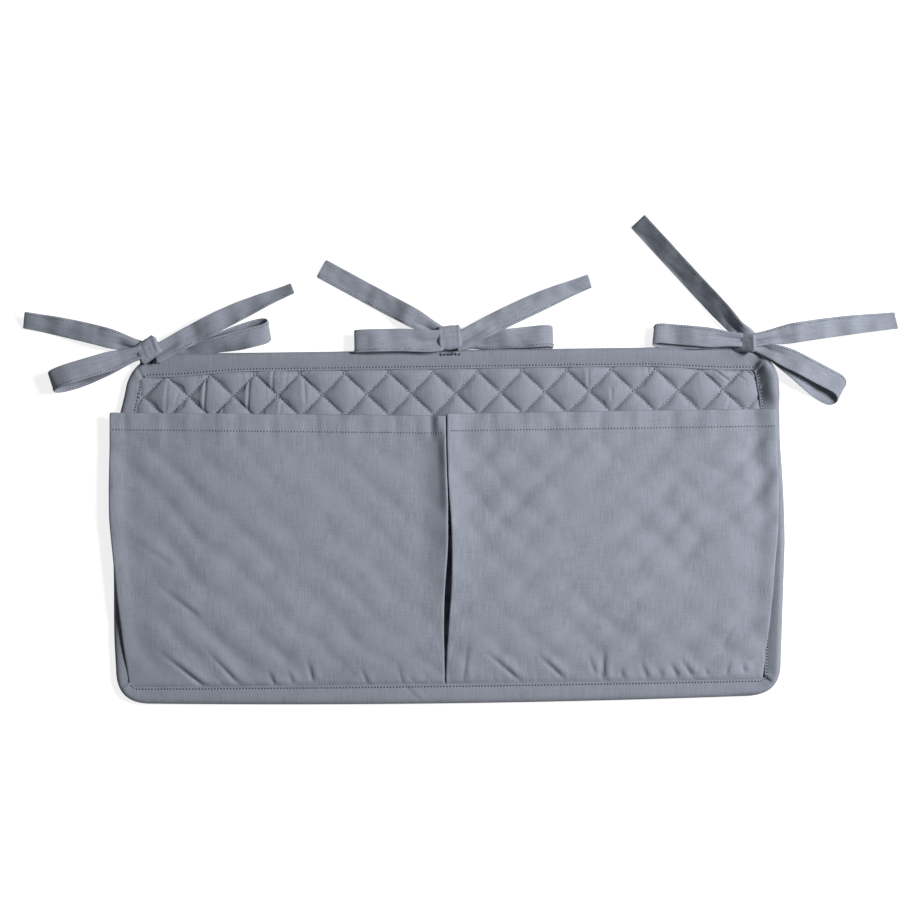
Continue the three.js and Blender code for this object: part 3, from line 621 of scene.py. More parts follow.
def makeQuiltFront():
    bm = bmesh.new()
    quiltSheet(bm, quiltFront["steps"], quiltFront["edge"], startHeight)
    piece = newPiece("quilt_front", bm, [shadedQuiltCotton], None)
    rest = [vert.co.copy() for vert in piece.data.vertices]
    pinned = []
    for index, place in enumerate(rest):
        sewn = offLine(place.x, place.y) * quiltFront["steps"] < quiltFront["sewn"]
        if sewn or fromBinding(place.x, place.y) < quiltFront["sewnEdge"]:
            pinned.append(index)
    for vert, start, end in zip(piece.data.vertices, rest, blowUp(piece, pinned)):
        move = end - start
        if move.length > quiltFront["cap"]:
            move *= quiltFront["cap"] / move.length
        vert.co = start + move
    bm = bmesh.new()
    bm.from_mesh(piece.data)
    fine = [edge for edge in bm.edges if nearTuck((edge.verts[0].co + edge.verts[1].co) / 2)]
    bmesh.ops.subdivide_edges(bm, edges=fine, cuts=3, use_grid_fill=True)
    for vert in bm.verts:  # tucks, and room under the pockets
        x, y, _ = vert.co
        tucks = creaseAt(quiltCreases, x, y, width=quiltFront["tuckWidth"])
        vert.co.z += tucks * smooth(puffAt(x, y), 0.0, quiltFront["tuckFade"])
        if y < quiltFront["pocketsTop"]:
            roof = pocketRise(y) - quiltFront["pocketRoom"]
            vert.co.z = min(vert.co.z, max(roof, quiltFront["channel"] - quiltFront["pressed"]))
    rim = [edge for edge in bm.edges if edge.is_boundary]
    for made in bmesh.ops.extrude_edge_only(bm, edges=rim)["geom"]:
        if isinstance(made, bmesh.types.BMVert):
            made.co.z = quiltFront["under"]
    rim = [edge for edge in bm.edges if edge.is_boundary]
    bmesh.ops.holes_fill(bm, edges=rim, sides=0)
    bmesh.ops.recalc_face_normals(bm, faces=bm.faces)
    bm.to_mesh(piece.data)
    bm.free()
    piece.data.shade_smooth()
    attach(piece, "panel")
    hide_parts("quilt_face", "quilt_batting")
    return piece


quiltTop = makeQuiltFront()
print("quilt front made")

# Quilt back: pressed flat by the floor, with the same stitched lines
quiltBack = {
    "steps": 6, "channel": 0.0012, "flat": 2.4, "flatPower": 0.6, "rim": 0.0026, "rimAt": (0.014, 0.026),
    "edge": 0.0055, "cloth": 0.0006,
}


def backHeight(x, y):
    depth = quiltBack["channel"] * (1 - min(1.0, quiltBack["flat"] * puffAt(x, y)) ** quiltBack["flatPower"])
    return mix(quiltBack["rim"], depth, smooth(fromEdge(x, y), *quiltBack["rimAt"]))


def makeQuiltBack():
    bm = bmesh.new()
    quiltSheet(bm, quiltBack["steps"], quiltBack["edge"], backHeight)
    piece = newPiece("quilt_back", bm, [shadedQuiltCotton], "panel")
    thicken(piece, quiltBack["cloth"], offset=1.0)
    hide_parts("quilt_lining")


makeQuiltBack()
print("quilt back made")

# Binding: a bias strip folded over the edge and sewn through near its inner edges
binding = {
    "section": [  # share of its width from the outer edge, height in mm
        (0.96, 6.75), (1.01, 7.05), (1.01, 7.5), (0.965, 7.85), (0.92, 7.65), (0.875, 7.3), (0.83, 7.55),
        (0.76, 7.85), (0.66, 8.2), (0.54, 8.5), (0.42, 8.75), (0.30, 8.8), (0.19, 8.5), (0.10, 7.75),
        (0.035, 6.3), (0.0, 4.7), (0.02, 3.4), (0.09, 2.3), (0.20, 1.7), (0.36, 1.4), (0.6, 1.35),
        (0.85, 1.35), (1.0, 1.4), (1.0, 1.8),
    ],
    "fold": 4.7,  # the section's height at the outer edge
    "faceAt": (0.02, 0.25), "pucker": (0.00022, 0.0045), "puckerAt": (0.3, 0.85), "swell": (0.0003, 0.035),
    "rightLift": 0.0034, "rightLiftAt": (0.24, 0.28), "curl": 0.0062, "curlInner": (0.2755, 0.1385),
    "curlBeside": (-0.002, 0.005), "curlFrom": (0.100, 0.116), "curlTo": (0.152, 0.140),
    "curlSide": (0.262, 0.270), "curlAcross": 0.65, "stitchShare": 0.875, "cloth": 0.0005,
    "flat": (0.042, 1.80),
}
bindingCreases = [  # where the strip is folded at a corner or joined
    (-0.2870, -0.1355, -0.2950, -0.1410, 0.0012, 0.6),
    (0.2751, -0.1366, 0.2850, -0.1437, 0.0014, 0.7),
    (0.2700, 0.1420, 0.2890, 0.1480, 0.0014, -0.6),
    (0.2760, 0.1300, 0.2840, 0.1440, 0.0012, 0.6),
    (-0.0415, -0.1430, -0.0275, -0.1560, 0.0006, 0.5),
    (-0.2700, 0.1330, -0.2760, 0.1440, 0.0010, 0.6),
]


def cornerCurl(x, y):  # the right top corner stands up below the mitre
    innerX, innerY = binding["curlInner"]
    beside = smooth((x - innerX) - (y - innerY), *binding["curlBeside"]) * smooth(x, *binding["curlSide"])
    return binding["curl"] * beside * smooth(y, *binding["curlFrom"]) * smooth(y, *binding["curlTo"])


def makeBinding():
    loops = [wholeOutline(share) for share, _ in binding["section"]]
    count = len(loops[0])
    last = len(loops) - 1
    bm = bmesh.new()

    def place(a, b):
        row = round(b * last)
        x, y = loops[row][round(a * count) % count]
        share, height = binding["section"][row]
        z = height * millimetre + cornerCurl(x, y) * smooth(1 - share, 0.0, binding["curlAcross"])
        if height > binding["fold"]:
            face = smooth(share, *binding["faceAt"])
            uneven = ripple(binding["pucker"], x, y, 5.0) * smooth(share, *binding["puckerAt"])
            uneven += ripple(binding["swell"], x, y, 8.0) + creaseAt(bindingCreases, x, y)
            z += face * (uneven + binding["rightLift"] * (1 - share) * smooth(x, *binding["rightLiftAt"]))
        return Vector((x, y, z))

    width, length = binding["flat"]
    clothGrid(bm, count, last, place, (length, width), weld=True)
    bmesh.ops.recalc_face_normals(bm, faces=bm.faces)
    piece = newPiece("bias_binding", bm, [shadedBiasCotton], "panel")
    thicken(piece, binding["cloth"], offset=-1.0)
    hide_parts("edge_binding")
    return piece


bindingPiece = makeBinding()
print("binding made")

# Pocket fronts: one cloth each, folded under at the sides and hemmed at the mouth
front = {
    "cloth": 0.0006, "fold": 0.0009, "return": 0.004, "hem": 0.0150, "hemFold": 0.0006, "tuck": 0.004,
    "turnFade": 0.03, "footTurn": 0.3, "mouthWave": (0.0004, 0.03), "waveFade": 0.03, "columns": 250,
    "rows": 150, "dense": 0.5, "cutLength": 0.26,
}
roll = {  # pleat edges stand up a little beside the slit and at the sides
    "slitReach": 0.030, "slitFade": (0.01, 0.16), "valleyAt": (0.019, 0.009), "dipAt": (0.078, 0.095),
    "liftShare": 0.5, "liftFrom": (0.0, 0.03), "liftTo": (0.085, 0.070), "dipReach": 0.008, "side": 0.0013,
    "sideReach": (0.015, 0.003), "sideFade": (0.01, 0.08), "dent": 0.0005, "dentAt": (-0.02, 0.075),
    "sag": 0.0024, "sagReach": 0.045, "sagFrom": (0.0, 0.02), "sagTo": (0.09, 0.04), "fallReach": 0.10,
}
relief = {  # quilting that shows through, slow waves, puckers along the bottom seam and folds in the hem
    "drift": (0.006, 0.04), "print": 0.00062, "printSpan": (0.1, 1.5), "printWave": (0.8, 0.085),
    "printFade": 0.03, "calmAt": (-0.22, 0.05), "hemCalm": 0.6, "hemCalmAt": (0.035, 0.012), "bandGain": 1.6,
    "bandPower": 3, "patch": 0.7, "patchWave": (0.9, 0.07), "patchMost": 1.3,
    "waves": ((0.0012, 0.075, 3), (0.0007, 0.026, 4), (0.00015, 0.010, 14)),  # height, length, seed
    "creaseDepth": 0.9, "creaseWidth": 0.0020, "creaseLead": 0.9, "creaseFade": (-0.001, 0.003),
    "seamDip": 0.0009, "seamWidth": 0.0022, "drawSpan": (0.25, 1.0), "drawScale": 0.045,
    "drawAt": (-0.3, 0.35), "ruckShare": 0.45, "ruckScale": 0.0155, "ruckPower": 0.55, "ruckMean": 0.45,
    "ruckReach": 0.012, "ruckWave": (0.7, 0.02), "ruckFade": (-0.0005, 0.003), "tuckDrop": 0.0012,
    "tuckAt": (0.0005, -0.003), "hemWave": (0.0019, 0.016), "hemRipple": (0.000475, 0.007),
    "hemWaveAt": (0.040, 0.006), "hemFoldAt": (0.013, 0.0045), "hemFoldFade": (0.030, 0.008),
}


def foldOver(distance, radius, under):  # from the end of the turned-under cloth: inset from the fold, drop
    if distance < under:
        return radius + under - distance, -2 * radius
    angle = (distance - under) / radius
    if angle < math.pi:
        return radius - radius * math.sin(angle), -radius - radius * math.cos(angle)
    return radius + distance - under - math.pi * radius, 0.0


def slitRoll(plan, away, y):
    stands = plan["slitRoll"] * max(1 - away / roll["slitReach"], 0) ** 2
    stands -= plan["slitValley"] * bell(away, *roll["valleyAt"])
    lift = roll["liftShare"] * smooth(y, *roll["liftFrom"]) * smooth(y, *roll["liftTo"])
    turnDown = smooth(y, *roll["dipAt"]) - lift
    dip = plan["slitDip"] * turnDown * smooth(away, roll["dipReach"], 0.0)
    return smooth(y - pocket["seam"], *roll["slitFade"]) * stands - dip


def sideRoll(plan, away, y):
    above = y - pocket["seam"]
    stands = roll["side"] * smooth(away, *roll["sideReach"])
    stands -= mix(roll["dent"], plan["sideDent"], smooth(y, *roll["dentAt"])) * bell(away, *roll["valleyAt"])
    stands -= plan["fall"] * smooth(away, roll["fallReach"], 0.0)
    sag = roll["sag"] * smooth(away, roll["sagReach"], 0.0)
    sag *= smooth(above, *roll["sagFrom"]) * smooth(above, *roll["sagTo"])
    return smooth(above, *roll["sideFade"]) * stands - sag


def quiltPrint(plan, x, y, below):  # the quilting shows through as bands and diamonds
    seed = plan["seed"]
    shiftX, shiftY = (ripple(relief["drift"], x, y, seed + i) for i in range(2))
    phases = quiltPhase(x + shiftX, y + shiftY)
    patches = limit(0.5 + ripple(relief["printWave"], x, y, seed + 2))
    strength = mix(*relief["printSpan"], patches) * mix(1.0, plan["calm"], smooth(x + y, *relief["calmAt"]))
    strength *= smooth(y - pocket["seam"], 0.0, relief["printFade"])
    strength *= 1 - relief["hemCalm"] * smooth(below, *relief["hemCalmAt"])
    valleyU, valleyV = (abs(math.cos(math.pi * phase)) ** relief["bandPower"] for phase in phases)
    patch = limit(relief["patch"] + ripple(relief["patchWave"], x, y, seed + 12), 0, relief["patchMost"])
    bands = plan["bands"] * valleyU + plan["diamonds"] * patch * valleyV
    return -relief["print"] * strength * relief["bandGain"] * bands


def seamPuckers(plan, x, y):  # the bottom seam draws the cloth up
    seed = plan["seed"]
    above = y - pocket["seam"]
    draw = mix(*relief["drawSpan"], smooth(wander(x, 0, relief["drawScale"], seed + 7), *relief["drawAt"]))
    ruck = abs(wander(x + plan["slant"] * above, 0, relief["ruckScale"], seed + 5)) ** relief["ruckPower"]
    reach = relief["ruckReach"] * (1 + ripple(relief["ruckWave"], x, 0, seed + 6))
    fade = math.exp(-above / reach) * smooth(above, *relief["ruckFade"])
    z = relief["ruckShare"] * plan["ruck"] * draw * (ruck - relief["ruckMean"]) * fade
    folds = creaseAt(plan["creases"], x, y, width=relief["creaseWidth"], lead=relief["creaseLead"])
    z += relief["creaseDepth"] * folds * smooth(above, *relief["creaseFade"])
    z -= relief["seamDip"] * bell(above, 0, relief["seamWidth"])
    return z - relief["tuckDrop"] * smooth(above, *relief["tuckAt"])


def hemRelief(plan, x, y, below):
    wave = ripple(relief["hemWave"], x, 0, plan["seed"] + 8)
    wave += ripple(relief["hemRipple"], x, 0, plan["seed"] + 9)
    fold = plan["hemFold"] * bell(abs(x - innerEdge(plan, y)), *relief["hemFoldAt"])
    return wave * smooth(below, *relief["hemWaveAt"]) - fold * smooth(below, *relief["hemFoldFade"])


def pocketRelief(plan, x, y, below):
    waves = sum(ripple(wave, x, y, plan["seed"] + more) for *wave, more in relief["waves"])
    return quiltPrint(plan, x, y, below) + waves + seamPuckers(plan, x, y) + hemRelief(plan, x, y, below)


def makePocket(name, plan):
    radius, under = front["fold"], front["return"]
    hemTurn = front["hem"] + math.pi * front["hemFold"]
    bm = bmesh.new()

    def place(a, b):
        mouth = topEdge - mix(plan["innerDrop"], plan["outerDrop"], a)
        length = mouth - pocket["seam"] + front["tuck"] + hemTurn
        dropTop, zTop = foldOver(length - b * length, front["hemFold"], front["hem"])
        y = mouth - dropTop
        inner = innerEdge(plan, y)
        width = abs(outerEdge(plan, y) - inner)
        whole = width + 2 * (under + math.pi * radius - radius)
        run = a * whole
        fromInner, zInner = foldOver(run, radius, under)
        fromOuter, zOuter = foldOver(whole - run, radius, under)
        away = fromInner if run < whole / 2 else width - fromOuter
        x = inner + plan["side"] * away
        turned = mix(front["footTurn"], 1.0, smooth(y - pocket["seam"], 0, front["turnFade"]))
        z = pocketRise(y) + pocketRelief(plan, x, y, dropTop) + zTop + (zInner + zOuter) * turned
        z += slitRoll(plan, away, y) + sideRoll(plan, width - away, y)
        y += ripple(front["mouthWave"], x, 0, plan["seed"] + 10) * smooth(dropTop, front["waveFade"], 0)
        return Vector((x, y, z))

    cut = (plan["width"], front["cutLength"])
    clothGrid(bm, front["columns"], front["rows"], place, cut, dense=front["dense"])
    piece = newPiece(f"pocket_{name}", bm, [straightCotton], f"pocket_{name}")
    if plan["side"] < 0:
        piece.data.flip_normals()
    thicken(piece, front["cloth"])
    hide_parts(f"pocket_{name}_front")
    return piece


pockets = {name: makePocket(name, plan) for name, plan in pocketPlans.items()}
print("pockets made")

# Bows: each tie has a knot, two loops and two tails. Angles in degrees, lengths from the knot's middle
tie = {
    "width": 0.018, "pinchAt": (0.010, 0.040), "cloth": 0.0011, "level": 0.0104, "step": 0.0024,
    "layers": {"left_tail": 0, "left_loop": 1, "right_loop": 0, "right_tail": 2}, "knotRadius": 0.0125,
    "resting": 0.0012, "gather": 0.0019, "gatherAt": (0.042, 0.008), "gatherFolds": (2.6, 6.1),
    "gatherFine": 0.3,
    "dents": ((0.0029, 0.6, 0.017), (0.0009, 1.0, 0.008), (0.0005, 1.0, 0.05)),  # height, across, length
    "dentsAt": (0.012, 0.03), "loopDents": 0.8, "innerGather": -0.6, "twistAt": (0.4, 1.0),
    "tailRollAt": 0.018, "riseAt": (0.012, 0.075), "liftFrom": (0.010, 0.028), "liftTo": (0.080, 0.050),
    "shiftAt": 0.040, "hangAt": (0.004, 0.022), "hangEnd": 0.55, "stepAlong": 0.0028, "across": 10,
    "stitchInset": 0.0022, "stitchSunk": 0.00005, "tailStitches": (0.10, 0.985), "loopStitches": (0.06, 0.94),
    "probe": (0.02, 0.01),  # steps across and along to find which way the cloth faces
    "seed": 20.0, "seedStep": 7,
}
plainStrip = {  # what a strip has where its bow says nothing else
    "root": 0.006, "wide": 1.0, "pinch": 0.68, "roll": 0, "twist": 0, "bend": 0.0, "swerve": 0.0, "rise": 0.0,
    "endLevel": None, "end": 0.009, "innerRoll": 0, "shift": 0.0, "spread": 0.0, "lift": 0.0, "sag": 0.0,
    "sagAt": 0.016,
}
bows = {
    "left": {
        "at": (-0.264, 0.1594),
        "left_tail": {"angle": 165.9, "length": 0.116, "droopStart": 0.030, "droopEnd": 0.085, "roll": 8,
                      "twist": 26, "bend": -0.002, "stitch": -1},
        "left_loop": {"angle": 196.3, "length": 0.092, "droopStart": 0.040, "sink": 0.0014, "swell": 0.0108,
                      "spread": 0.0046, "end": 0.017, "innerRoll": 8, "stitch": 1},
        "right_tail": {"angle": 22.4, "length": 0.139, "droopStart": 0.085, "droopEnd": 0.139, "root": 0.002,
                       "pinch": 0.92, "twist": 53, "swerve": -0.0065, "rise": 0.0055, "endLevel": 0.0145,
                       "bend": 0.002, "stitch": -1},
        "right_loop": {"angle": 9.0, "length": 0.108, "droopStart": 0.050, "sink": 0.0022, "swell": 0.0066,
                       "shift": -0.0035, "spread": 0.0066, "roll": 44, "innerRoll": 10, "sag": -0.0060,
                       "sagAt": 0.040, "stitch": 1},
    },
    "centre": {
        "at": (0.0034, 0.1666),
        "left_tail": {"angle": 150.7, "length": 0.131, "droopStart": 0.030, "droopEnd": 0.085, "roll": 6,
                      "stitch": 1},
        "left_loop": {"angle": 180.6, "length": 0.085, "droopStart": 0.030, "sink": 0.0013, "swell": 0.0030,
                      "shift": 0.001, "spread": 0.001, "wide": 1.14, "pinch": 0.95, "sag": 0.0028,
                      "stitch": 1},
        "right_tail": {"angle": 21.4, "length": 0.135, "droopStart": 0.090, "droopEnd": 0.135, "root": 0.002,
                       "pinch": 0.92, "twist": -48, "swerve": -0.0065, "bend": 0.002, "stitch": -1},
        "right_loop": {"angle": 1.5, "length": 0.092, "droopStart": 0.040, "sink": 0.0050, "swell": 0.0026,
                       "shift": -0.001, "spread": -0.003, "wide": 1.08, "pinch": 1.0, "roll": 30,
                       "sag": -0.0034, "sagAt": 0.034, "stitch": -1},
    },
    "right": {
        "at": (0.2695, 0.1599),
        "left_tail": {"angle": 131.8, "length": 0.146, "droopStart": 0.030, "droopEnd": 0.090, "root": -0.002,
                      "wide": 1.24, "pinch": 0.85, "roll": 46, "stitch": -1},
        "left_loop": {"angle": 173.8, "length": 0.085, "droopStart": 0.040, "sink": 0.0056, "swell": 0.0030,
                      "spread": 0.0045, "stitch": -1},
        "right_tail": {"angle": 7.4, "length": 0.134, "droopStart": 0.040, "droopEnd": 0.120, "root": 0.001,
                       "twist": 30, "bend": 0.002, "stitch": 1},
        "right_loop": {"angle": -26.9, "length": 0.095, "droopStart": 0.048, "sink": 0.0060, "swell": 0.0052,
                       "root": 0.001, "lift": 0.0052, "shift": 0.0015, "spread": -0.0118, "stitch": 1},
    },
}


def pinchedWidth(strip, reach):
    return strip["wide"] * tie["width"] * mix(strip["pinch"], 1.0, smooth(reach, *tie["pinchAt"]))


def gather(reach, b, seed):  # folds where the strip runs into the knot
    broad, fine = (math.cos(folds * math.pi * b + i * seed) for i, folds in enumerate(tie["gatherFolds"], 1))
    return tie["gather"] * smooth(reach, *tie["gatherAt"]) * (broad - tie["gatherFine"] * fine)


def tieWave(travelled, offset, reach, seed):  # soft dents along a strip
    dents = sum(height * wander(travelled, offset * across, length, seed + i)
                for i, (height, across, length) in enumerate(tie["dents"]))
    return dents * smooth(reach, *tie["dentsAt"])


def tailPoint(strip, level, along, b, seed):  # b from -0.5 to 0.5 across the strip
    reach = mix(strip["root"], strip["length"], along)
    lean = strip["twist"] * smooth(along, *tie["twistAt"])
    lean = math.radians(lean + strip["roll"] * smooth(reach, 0.0, tie["tailRollAt"]))
    end = strip["endLevel"]
    if end is None:  # the tail's end lies on the floor, turned as it is
        end = tie["resting"] + abs(math.sin(math.radians(strip["twist"] + strip["roll"]))) * tie["width"] / 2
    high = level + strip["rise"] * smooth(reach, *tie["riseAt"])
    z = mix(high, end, smooth(reach, strip["droopStart"], strip["droopEnd"]))
    side = strip["bend"] * 4 * along * (1 - along) + strip["swerve"] * (1 - along)
    offset = b * pinchedWidth(strip, reach)
    folds = gather(reach, b, seed) + tieWave(reach, offset, reach, seed)
    return Vector((reach, side + offset * math.cos(lean), z - offset * math.sin(lean) + folds))


def loopPoint(strip, level, along, b, seed):  # along from 0 at the knot, round the end, to 1 at the knot
    end, swell, root = strip["end"], strip["swell"], strip["root"]
    straight = strip["length"] - end
    run = straight - root
    turnLength = math.pi * (end + swell) / 2
    travelled = along * (2 * run + turnLength)
    turn = math.pi * limit((travelled - run) / turnLength)
    reach = straight + end * math.sin(turn)
    if travelled < run:
        reach = root + travelled
    elif travelled > run + turnLength:
        reach = root + 2 * run + turnLength - travelled
    under = (1 - math.cos(turn)) / 2
    far = smooth(min(reach, straight), tie["knotRadius"], straight)
    half = mix(tie["step"] / 2, swell, far)
    z = level + tie["step"] / 2 - strip["sink"] * smooth(min(reach, straight), strip["droopStart"], straight)
    z += strip["lift"] * smooth(reach, *tie["liftFrom"]) * smooth(reach, *tie["liftTo"])
    side = strip["shift"] * smooth(reach, tie["knotRadius"], tie["shiftAt"]) + strip["spread"] * under * far
    side += strip["sag"] * bell(reach, strip["sagAt"], strip["sagAt"])
    width = pinchedWidth(strip, reach)
    offset = b * width
    folds = gather(reach, b, seed) * mix(1, tie["innerGather"], under)
    folds += tieWave(travelled, offset, reach, seed) * tie["loopDents"]
    # near the knot the lower edge hangs down, and the inner ply leans inside the loop
    north = math.copysign(1.0, math.cos(math.radians(strip["angle"])))
    hang = smooth(reach, *tie["hangAt"]) * smooth(reach, straight, tie["hangEnd"] * straight)
    hang *= math.radians(strip["roll"])
    inner = math.radians(strip["innerRoll"]) * under * far
    pivot = north * width / 2
    side += pivot + (offset - pivot) * math.cos(hang)
    lean = north * ((offset - pivot) * math.sin(hang) + offset * math.sin(inner))
    return Vector((reach, side, z + half * math.cos(turn) + lean + folds))


def makeStrip(name, body, at, strip, level, seed, looped):
    lay = Matrix.Translation((*at, 0)) @ Matrix.Rotation(math.radians(strip["angle"]), 4, "Z")
    length = strip["length"] - strip["root"]
    length *= 2 if looped else 1
    rows = round(length / tie["stepAlong"])
    pointOn = loopPoint if looped else tailPoint

    def place(a, b):
        spot = lay @ pointOn(strip, level, b, a - 0.5, seed)
        spot.z = max(spot.z, tie["resting"])
        return spot

    bm = bmesh.new()
    clothGrid(bm, tie["across"], rows, place, (tie["width"], length))
    piece = newPiece(name, bm, [tieCotton], body)
    thicken(piece, tie["cloth"], softness=1)
    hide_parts(body)
    bm = bmesh.new()
    across = 0.5 + strip["stitch"] * (0.5 - tie["stitchInset"] / tie["width"])
    span = tie["loopStitches" if looped else "tailStitches"]
    probeAcross, probeAlong = tie["probe"]
    for face in (1, -1):
        path = []
        for i in range(rows * 2 + 1):
            along = mix(*span, i / (rows * 2))
            ahead = place(across, min(along + probeAlong, 1)) - place(across, max(along - probeAlong, 0))
            beside = place(across + probeAcross, along) - place(across - probeAcross, along)
            up = beside.cross(ahead).normalized() * -face
            path.append((place(across, along) + up * (tie["cloth"] / 2 - tie["stitchSunk"]), up))
        runStitches(bm, path, seams["tie"])
    newPiece(name + "_stitches", bm, [seamThread, seamHoleShade], body)


# Knots: a band wrapped round the strips, and the tie's back, which is sewn down behind the binding
knots = {
    "left": {"width": 0.0210, "height": 0.0178, "tilt": 34.0, "skew": 0.25, "lean": 0.10, "folds": 0.0006,
             "shift": (-0.001, 0)},
    "centre": {"width": 0.0205, "height": 0.0208, "tilt": 6.0, "skew": 0.06, "lean": 0.03, "folds": 0.0003,
               "shift": (0, 0)},
    "right": {"width": 0.0185, "height": 0.0165, "tilt": -8.0, "skew": -0.16, "lean": 0.75, "folds": 0.0005,
              "shift": (-0.0045, -0.0012)},
}
knotShape = {
    "low": 0.0082, "high": 0.0170, "around": 44, "across": 22, "cut": (0.05, 0.022), "cloth": 0.0009,
    "square": 0.62, "end": 0.35, "endFrom": 0.82, "waist": 0.06, "foldScale": 0.0035,
    "foldStretch": (0.01, 0.004), "rim": 0.0006, "rimAt": (0.86, 0.07), "skewLow": -0.2, "seatGrid": (8, 14),
    "seatCut": 0.03, "seatWidth": 0.98, "seatLow": 0.00055, "seatRise": 0.001, "seatEnd": 0.002,
    "seatAt": (0.0005, 0.004),  # beyond the top edge, and beyond the knot's middle
}


def makeKnot(name, at, knot, seed):
    shape = knotShape
    move = Matrix.Translation((at[0] + knot["shift"][0], at[1] + knot["shift"][1], 0))
    lay = move @ Matrix.Rotation(math.radians(knot["tilt"]), 4, "Z")
    middle, half = (shape["low"] + shape["high"]) / 2, (shape["high"] - shape["low"]) / 2
    foldX, foldY = shape["foldStretch"]

    def place(a, b):
        angle = 2 * math.pi * a
        share = 2 * b - 1
        up, side = power(math.sin(angle), shape["square"]), power(math.cos(angle), shape["square"])
        more = knot["folds"] * wander(share * foldX, math.cos(angle) * foldY, shape["foldScale"], seed)
        more += shape["rim"] * bell(abs(share), *shape["rimAt"])
        ends = 1 - shape["end"] * max(abs(share) - shape["endFrom"], 0) / (1 - shape["endFrom"])
        size = ends * (1 - shape["waist"] * share ** 2)
        y = side * (knot["height"] / 2 * size + more)
        x = share * knot["width"] / 2 + knot["skew"] * y * max(up, shape["skewLow"])
        return lay @ Vector((x, y, middle + knot["lean"] * x + up * (half * size + more)))

    bm = bmesh.new()
    clothGrid(bm, shape["around"], shape["across"], place, shape["cut"], weld=True)
    bmesh.ops.recalc_face_normals(bm, faces=bm.faces)
    low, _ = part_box(f"tie_{name}_knot")

    def seat(a, b):
        y = mix(low.y, at[1] - shape["seatEnd"], b)
        rise = smooth(y, topEdge + shape["seatAt"][0], at[1] + shape["seatAt"][1])
        z = mix(shape["seatLow"], shape["low"] + shape["seatRise"], rise)
        return Vector((at[0] + (a - 0.5) * tie["width"] * shape["seatWidth"], y, z))

    clothGrid(bm, *shape["seatGrid"], seat, (tie["width"], shape["seatCut"]))
    piece = newPiece(f"tie_{name}_knot_wrap", bm, [tieCotton], "panel")
    thicken(piece, shape["cloth"])
    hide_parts(f"tie_{name}_knot")


# Bar tacks: slanted stitches over a bar of thread
tack = {
    "count": 6, "size": (0.0030, 0.0013, 0.0010), "slants": (-0.2, 0.5), "uneven": (0.0004, 0.7), "bar": 0.96,
    "barSize": (0.0012, 0.0008), "barSunk": 0.0002,
}


def makeTack(name):
    low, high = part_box(f"bar_tack_{name}")
    middle = (low + high) / 2
    bm = bmesh.new()
    for i in range(tack["count"]):
        x = mix(low.x, high.x, (i + 0.5) / tack["count"])
        y = middle.y + ripple(tack["uneven"], i, 0, 2.0)
        addStitch(bm, Vector((x, y, low.z)), Vector((tack["slants"][i % 2], 1, 0)), upward, tack["size"])
    spot = Vector((middle.x, middle.y, low.z - tack["barSunk"]))
    addStitch(bm, spot, Vector((1, 0, 0)), upward, ((high.x - low.x) * tack["bar"], *tack["barSize"]))
    piece = newPiece(f"tack_{name}", bm, [tackThread], "panel")
    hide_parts(f"bar_tack_{name}")


for number, (name, bow) in enumerate(bows.items()):
    seed = tie["seed"] + tie["seedStep"] * number
    for key, layer in tie["layers"].items():
        body = f"tie_{name}_{key}"
        level = tie["level"] + layer * tie["step"]
        strip = {**plainStrip, **bow[key]}
        makeStrip(body + "_strip", body, bow["at"], strip, level, seed + layer, key.endswith("loop"))
    makeKnot(name, bow["at"], knots[name], seed)
    makeTack(name)
print("bows made")

# Pleats: cloth folded in a V between a pocket's edge and the panel
pleat = {
    "depth": 0.020, "base": 0.0099, "seamInset": 0.004, "topInset": 0.0016, "mouthDrop": 0.0025,
    "footRise": 0.042, "underFold": 0.0006, "edge": 0.003, "foldPower": 1.6, "risePower": 0.8,
    "wave": (0.0006, 0.03), "room": 0.0042, "least": 0.0006, "grid": (16, 70), "cloth": 0.0005,
}


def makePleat(side, plan, kind):
    inner = kind == "inner"
    edge, edgeRoll = (innerEdge, slitRoll) if inner else (outerEdge, sideRoll)
    inward = plan["side"] if inner else -plan["side"]
    mouth = topEdge - plan[kind + "Drop"] - pleat["mouthDrop"]
    foot = pocket["seam"] + pleat["footRise"]

    def place(a, b):
        y = mix(foot, mouth, b)
        top = pocketRise(y) - 2 * front["fold"] - pleat["underFold"] + edgeRoll(plan, pleat["edge"], y)
        middle = (top + pleat["base"]) / 2
        turn = 2 * a - 1  # 1 at the pocket, -1 at the panel
        inset = pleat["seamInset"] if turn < 0 else pleat["topInset"]
        inset = mix(inset, pleat["depth"], 1 - abs(turn) ** pleat["foldPower"])
        inset += ripple(pleat["wave"], y, a * pleat["depth"], plan["seed"] + 30)
        z = middle + (top - middle) * power(turn, pleat["risePower"])
        roof = pocketRise(y) + edgeRoll(plan, inset, y) - pleat["room"]
        z = min(z, max(roof, pleat["base"] + pleat["least"]))
        return Vector((edge(plan, y) + inward * inset, y, z))

    bm = bmesh.new()
    clothGrid(bm, *pleat["grid"], place, (2 * pleat["depth"], mouth - foot))
    piece = newPiece(f"pleat_{side}_{kind}", bm, [straightCotton], None)
    thicken(piece, pleat["cloth"])
    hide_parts(f"pocket_{side}_{kind}_gusset")
    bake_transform(piece)


for side, plan in pocketPlans.items():
    for kind in ("inner", "outer"):
        makePleat(side, plan, kind)
print("pleats made")

# Hem, binding and quilting stitches, laid on the finished cloth
sewing = {
    "lookFrom": 0.1,  # height above the cloth from which it is found
    "hemBelow": 0.0152, "hemInset": 0.0015, "hemPoints": 300, "bindingLift": 0.0001, "quiltLift": 0.00005,
    "quiltLines": 16, "quiltPoints": 699, "quiltFrom": 0.045, "quiltEdge": 0.0165,
}
bpy.context.view_layer.update()
graph = bpy.context.evaluated_depsgraph_get()


